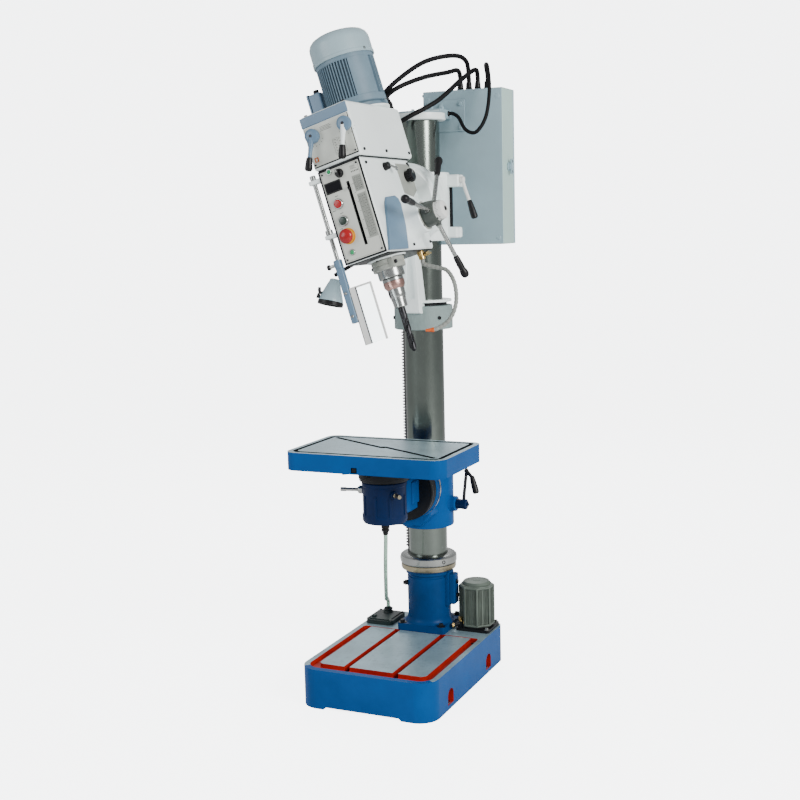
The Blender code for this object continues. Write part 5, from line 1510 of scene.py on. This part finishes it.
def make_controls():
    for name, z, finish, slot in (
        ("stop", STOP_Z, RED_CAP, "red_plastic"), ("start", START_Z, GREEN_CAP, "green_plastic"),
    ):
        cap = Shape(HEAD).turned(
            mm((0, 9.4), (8, 9.2), (10, 9), (11.3, 8), (11.5, 6.6), (11.5, 0), (0, 0)),
            (BUTTON_X, -0.4887, z), FRONT, 0, 56,
        )
        piece(f"{name}_button_cap", cap, finish, f"{name}_button", [f"{name}_button"])
    stop = Shape(HEAD).turned(mm(
        (0, 24.5), (8, 24), (13.5, 22.5), (17.5, 19.5), (20, 15.5), (20, 13), (18.5, 11.8), (12, 11),
        (8, 10), (8, 0), (0, 0),
    ), (BUTTON_X, -0.4906, EMERGENCY_Z), FRONT, 0, 72)
    piece("emergency_mushroom", stop, RED_CAP, "emergency_stop", ["emergency_stop"])
    at = Vector((-0.002, PANEL_Y - 0.0003, 0.088))
    knob = Shape(HEAD).turned(
        mm((0, 10), (9, 10), (10.4, 8.8), (11, 3), (12.4, 2), (12.4, 0), (0, 0)), at, FRONT, 0, 48,
    )
    knob.box(
        at + Vector((-0.0034, -0.018, -0.0108)), at + Vector((0.0034, -0.006, 0.0108)), 0.0014, 0, 3,
    ).box(at + Vector((-0.0005, -0.0183, 0.002)), at + Vector((0.0005, -0.0178, 0.01)), 0, 1)
    piece("selector_knob_cap", knob, [BLACK, IVORY], "selector", ["selector_knob"])
    for side, x, turn, arm_look in (("left", SHIFT_X[0], -0.36, SKY), ("right", SHIFT_X[1], -0.3, WHITE)):
        at = Vector((x, PANEL_Y - 0.0003, SHIFT_Z))
        hub = Shape(HEAD).turned(mm(
            (0, 20.5), (12, 20.5), (13.5, 19.5), (16.5, 19), (19, 17.5), (20, 15), (20, 4), (18.5, 2.2),
            (18.5, 0), (0, 0),
        ), at, FRONT, 0, 72)
        hub.turned(mm((0, 21.8), (4, 21.8), (5, 21), (5, 20), (0, 20)), at, FRONT, 2, 6)
        down = Vector((math.sin(turn), 0, -math.cos(turn)))
        out = Vector((0, -0.012, 0))
        path = [
            at + out + down * s + Vector((0, -0.01 * min(1, s / 0.06), 0))
            for s in (0.004, 0.018, 0.03, 0.045, 0.06)
        ]
        hub.tube(path, 0.006, 1, 24, radii=[0.0092, 0.0078, 0.0064, 0.0056, 0.0056])
        piece(
            f"shift_hub_{side}", hub, [SKY, arm_look, DARK], f"shift_{side}",
            [f"shift_lever_{side}"],
        )
        grip = Shape(HEAD).turned(mm(
            (0, 37), (6, 37), (9, 35.2), (10.6, 31.5), (10.6, 25), (9, 8), (8, 1.5), (6.6, 0), (0, 0),
        ), path[-1] - down * 0.003, down + Vector((0, -0.1, 0)), 0, 40)
        piece(f"shift_grip_{side}", grip, BLACK, f"shift_{side}")
    at = Vector((0.0683, -0.345, 0.086))
    knob = Shape(HEAD).turned(
        mm((0, 16), (8.8, 16), (10.5, 14.5), (11.2, 4), (12, 2), (12, 0), (0, 0)), at, RIGHT, 0, 48,
    )
    knob.tube(
        [
            at + Vector(p)
            for p in ((0.012, 0, 0), (0.0155, 0.01, -0.002), (0.018, 0.022, -0.006), (0.02, 0.034, -0.01))
        ],
        0.0032, 1, 20,
    )
    knob.turned(
        mm((3.5, 1.6), (6.4, 1.6), (7, 0.8), (7, -0.8), (6.4, -1.6), (3.5, -1.6)),
        at + Vector((0.0185, 0.033, -0.01)), RIGHT, 1, 32,
    )
    piece("speed_knob_cap", knob, [BLACK, CROSS_STEEL], "speed_knob", ["speed_knob"])
    at = Vector((0.0683, -0.215, 0.06))
    knob = Shape(HEAD).turned(mm(
        (0, 24), (15, 24), (17.2, 22.5), (18.2, 19), (18.2, 11), (16.2, 8), (15.8, 0), (0, 0),
    ), at, RIGHT, 0, 56)
    for i in range(18):
        a = math.tau * i / 18
        rib = at + Vector((0.0105, 0.0182 * math.cos(a), 0.0182 * math.sin(a)))
        knob.rod(rib, rib + Vector((0.01, 0, 0)), 0.0015, edge=0.0004, steps=10)
    knob.box(at + Vector((0.0235, -0.0008, 0.004)), at + Vector((0.0243, 0.0008, 0.0145)), 0.0002, 1)
    piece("feed_selector_cap", knob, [BLACK, IVORY], "feed_selector", ["feed_selector"])


def make_guard_and_lamp():
    x, y = -0.09, -0.476
    rod = Shape(HEAD).rod((x, y, -0.155), (x, y, 0.108), 0.006, edge=0.001).turned(
        mm((0, 110), (7, 110), (8.4, 108.5), (8.4, 98.5), (0, 98.5)), (x, y, 0), steps=32,
    )
    rod.turned(mm((0, -45), (9.5, -45), (10.5, -46), (10.5, -57.5), (0, -57.5)), (x, y, 0), steps=32)
    piece("guard_pillar", rod, HEAD_STEEL, "head", ["guard_rod"])
    arm = Shape(HEAD).box((x - 0.011, y - 0.009, -0.31), (x + 0.009, y + 0.009, -0.134), 0.0035, segments=4)
    arm.turned(
        mm((0, -130), (11, -130), (12.5, -131.5), (12.5, -151), (11, -153), (0, -153)), (x - 0.001, y, 0),
        steps=48,
    )
    arm.rod((x - 0.004, y, -0.142), (x - 0.028, y, -0.142), 0.0048, edge=0.0006, mat=1, steps=32)
    arm.turned(
        mm((0, 8.5), (6, 8.5), (7.8, 7), (7.8, 1.5), (6, 0), (0, 0)), (x - 0.0275, y, -0.142), LEFT, 2, 12,
    )
    for z in (-0.225, -0.29):
        arm.screw((x - 0.001, y - 0.009, z), FRONT, 0.0042, 1)
    piece("guard_bar", arm, [SKY, HEAD_STEEL, BLACK], "guard", ["guard_arm"])
    shield = Shape(HEAD).box((x + 0.0093, y - 0.003, -0.375), (x + 0.078, y, -0.215), 0.001)
    piece("guard_window", shield, CLEAR, "guard", ["guard_shield"])
    edge = Shape(HEAD).box((x + 0.01, y - 0.0042, -0.3765), (x + 0.029, y + 0.0012, -0.2135), 0.0008)
    for side in (0.0085, 0.0285):
        edge.box((x + side, y - 0.005, -0.3765), (x + side + 0.0018, y + 0.0014, -0.2135), 0.0004, 1)
    edge.box((x + 0.0735, y - 0.0042, -0.3765), (x + 0.079, y + 0.0012, -0.2135), 0.0008).box(
        (x + 0.012, y - 0.004, -0.219), (x + 0.076, y + 0.001, -0.2135), 0.0008,
    )
    for z in (-0.235, -0.3, -0.36):
        edge.screw((x + 0.012, y - 0.0042, z), FRONT, 0.0025)
    piece("guard_frame", edge, [IVORY, DARK], "guard")
    tip = Vector((-0.19, -0.32, -0.15))
    start = Vector((-0.0945, -0.31, -0.13))
    path = [start.lerp(tip, i / 40) for i in range(41)]
    arm = Shape(HEAD).tube(
        path, 0.006, steps=24, radii=[0.0058 + 0.0007 * math.sin(math.pi * i / 1.5) for i in range(41)],
    )
    arm.turned(mm((0, 6), (8.2, 6), (9.2, 5), (9.2, 1), (8.2, 0), (0, 0)), start, tip - start, steps=6)
    piece("lamp_gooseneck", arm, RUBBER, "head", ["lamp_arm"])
    at, axis = Vector((-0.1945, -0.32, -0.1615)), Vector((0.45, 0.25, 1)).normalized()
    shade = Shape(HEAD).turned(mm(
        (0, 2), (10, 2), (13.5, 0.2), (15, -6), (18, -12), (29, -40), (34.5, -56), (36, -63), (36, -72),
        (34.2, -72), (34.2, -63), (32.5, -56), (27, -40), (16, -14), (0, -10),
    ), at, axis, steps=80)
    piece("lamp_cone", shade, COWL, "lamp", ["lamp_shade"])
    rim = Shape(HEAD).turned(mm(
        (34, -64), (36.2, -64), (37.4, -65.5), (37.4, -74.5), (36.2, -76), (32.5, -76), (32.5, -65),
    ), at, axis, steps=80)
    side = Vector((-0.7, -0.6, 0.3)).normalized()
    root = at + axis * -0.04 + side * 0.0285
    rim.rod(root, root + side * 0.01, 0.0042, edge=0.0008, steps=24)
    for turn in (-1, 1):
        wing = [
            root + side * s + axis * (rise * turn)
            for s, rise in ((0.009, 0), (0.011, 0.008), (0.012, 0.016))
        ]
        rim.tube(wing, 0.003, radii=[0.0036, 0.005, 0.0042], steps=16)
    piece("lamp_rim", rim, BLACK, "lamp")
    lens = Shape(HEAD).turned(
        mm((0, -70), (20, -69), (33.5, -66.5), (33.5, -65), (0, -65.5)), at, axis, steps=64,
    )
    piece("lamp_glass", lens, LAMP_LENS, "lamp")


make_table_bracket()
make_crank()
make_table()
make_table_top()
make_head_bracket()
make_lower_housing()
make_upper_housing()
make_motor()
make_quill()
make_feed()
make_panels()
make_controls()
make_guard_and_lamp()


# ---- Studio and the end


def seen_amount(tree, socket, lit, seen):
    """Makes the backdrop brighter where it is seen, straight or through glass, than where it lights."""
    path = add_node(tree, "LightPath")
    rays = {0: path.outputs["Is Camera Ray"], 1: path.outputs["Is Transmission Ray"]}
    straight = add_node(tree, "Math", rays, operation="MAXIMUM").outputs["Value"]
    tree.links.new(remapped(tree, straight, 0.0, 1.0, lit, seen), socket)


def make_studio():
    reach = 14.0
    ground = Shape().slab(
        [(-reach, -reach), (reach, -reach), (reach, reach), (-reach, reach)], 0.02, (0, 0, -0.0202), edge=0,
    )
    piece("floor", ground, FLOOR, flat=False)
    world = bpy.data.worlds.new("studio")
    world.use_nodes = True
    bpy.context.scene.world = world
    backdrop = (0.97, 0.985, 1.0, 1)
    sky = world.node_tree.nodes["Background"].inputs
    sky["Color"].default_value = backdrop
    seen_amount(world.node_tree, sky["Strength"], 0.62, 5.6)
    ground = FLOOR.node_tree.nodes["Principled BSDF"].inputs
    ground["Emission Color"].default_value = backdrop
    seen_amount(FLOOR.node_tree, ground["Emission Strength"], 0.0, 5.0)


make_studio()
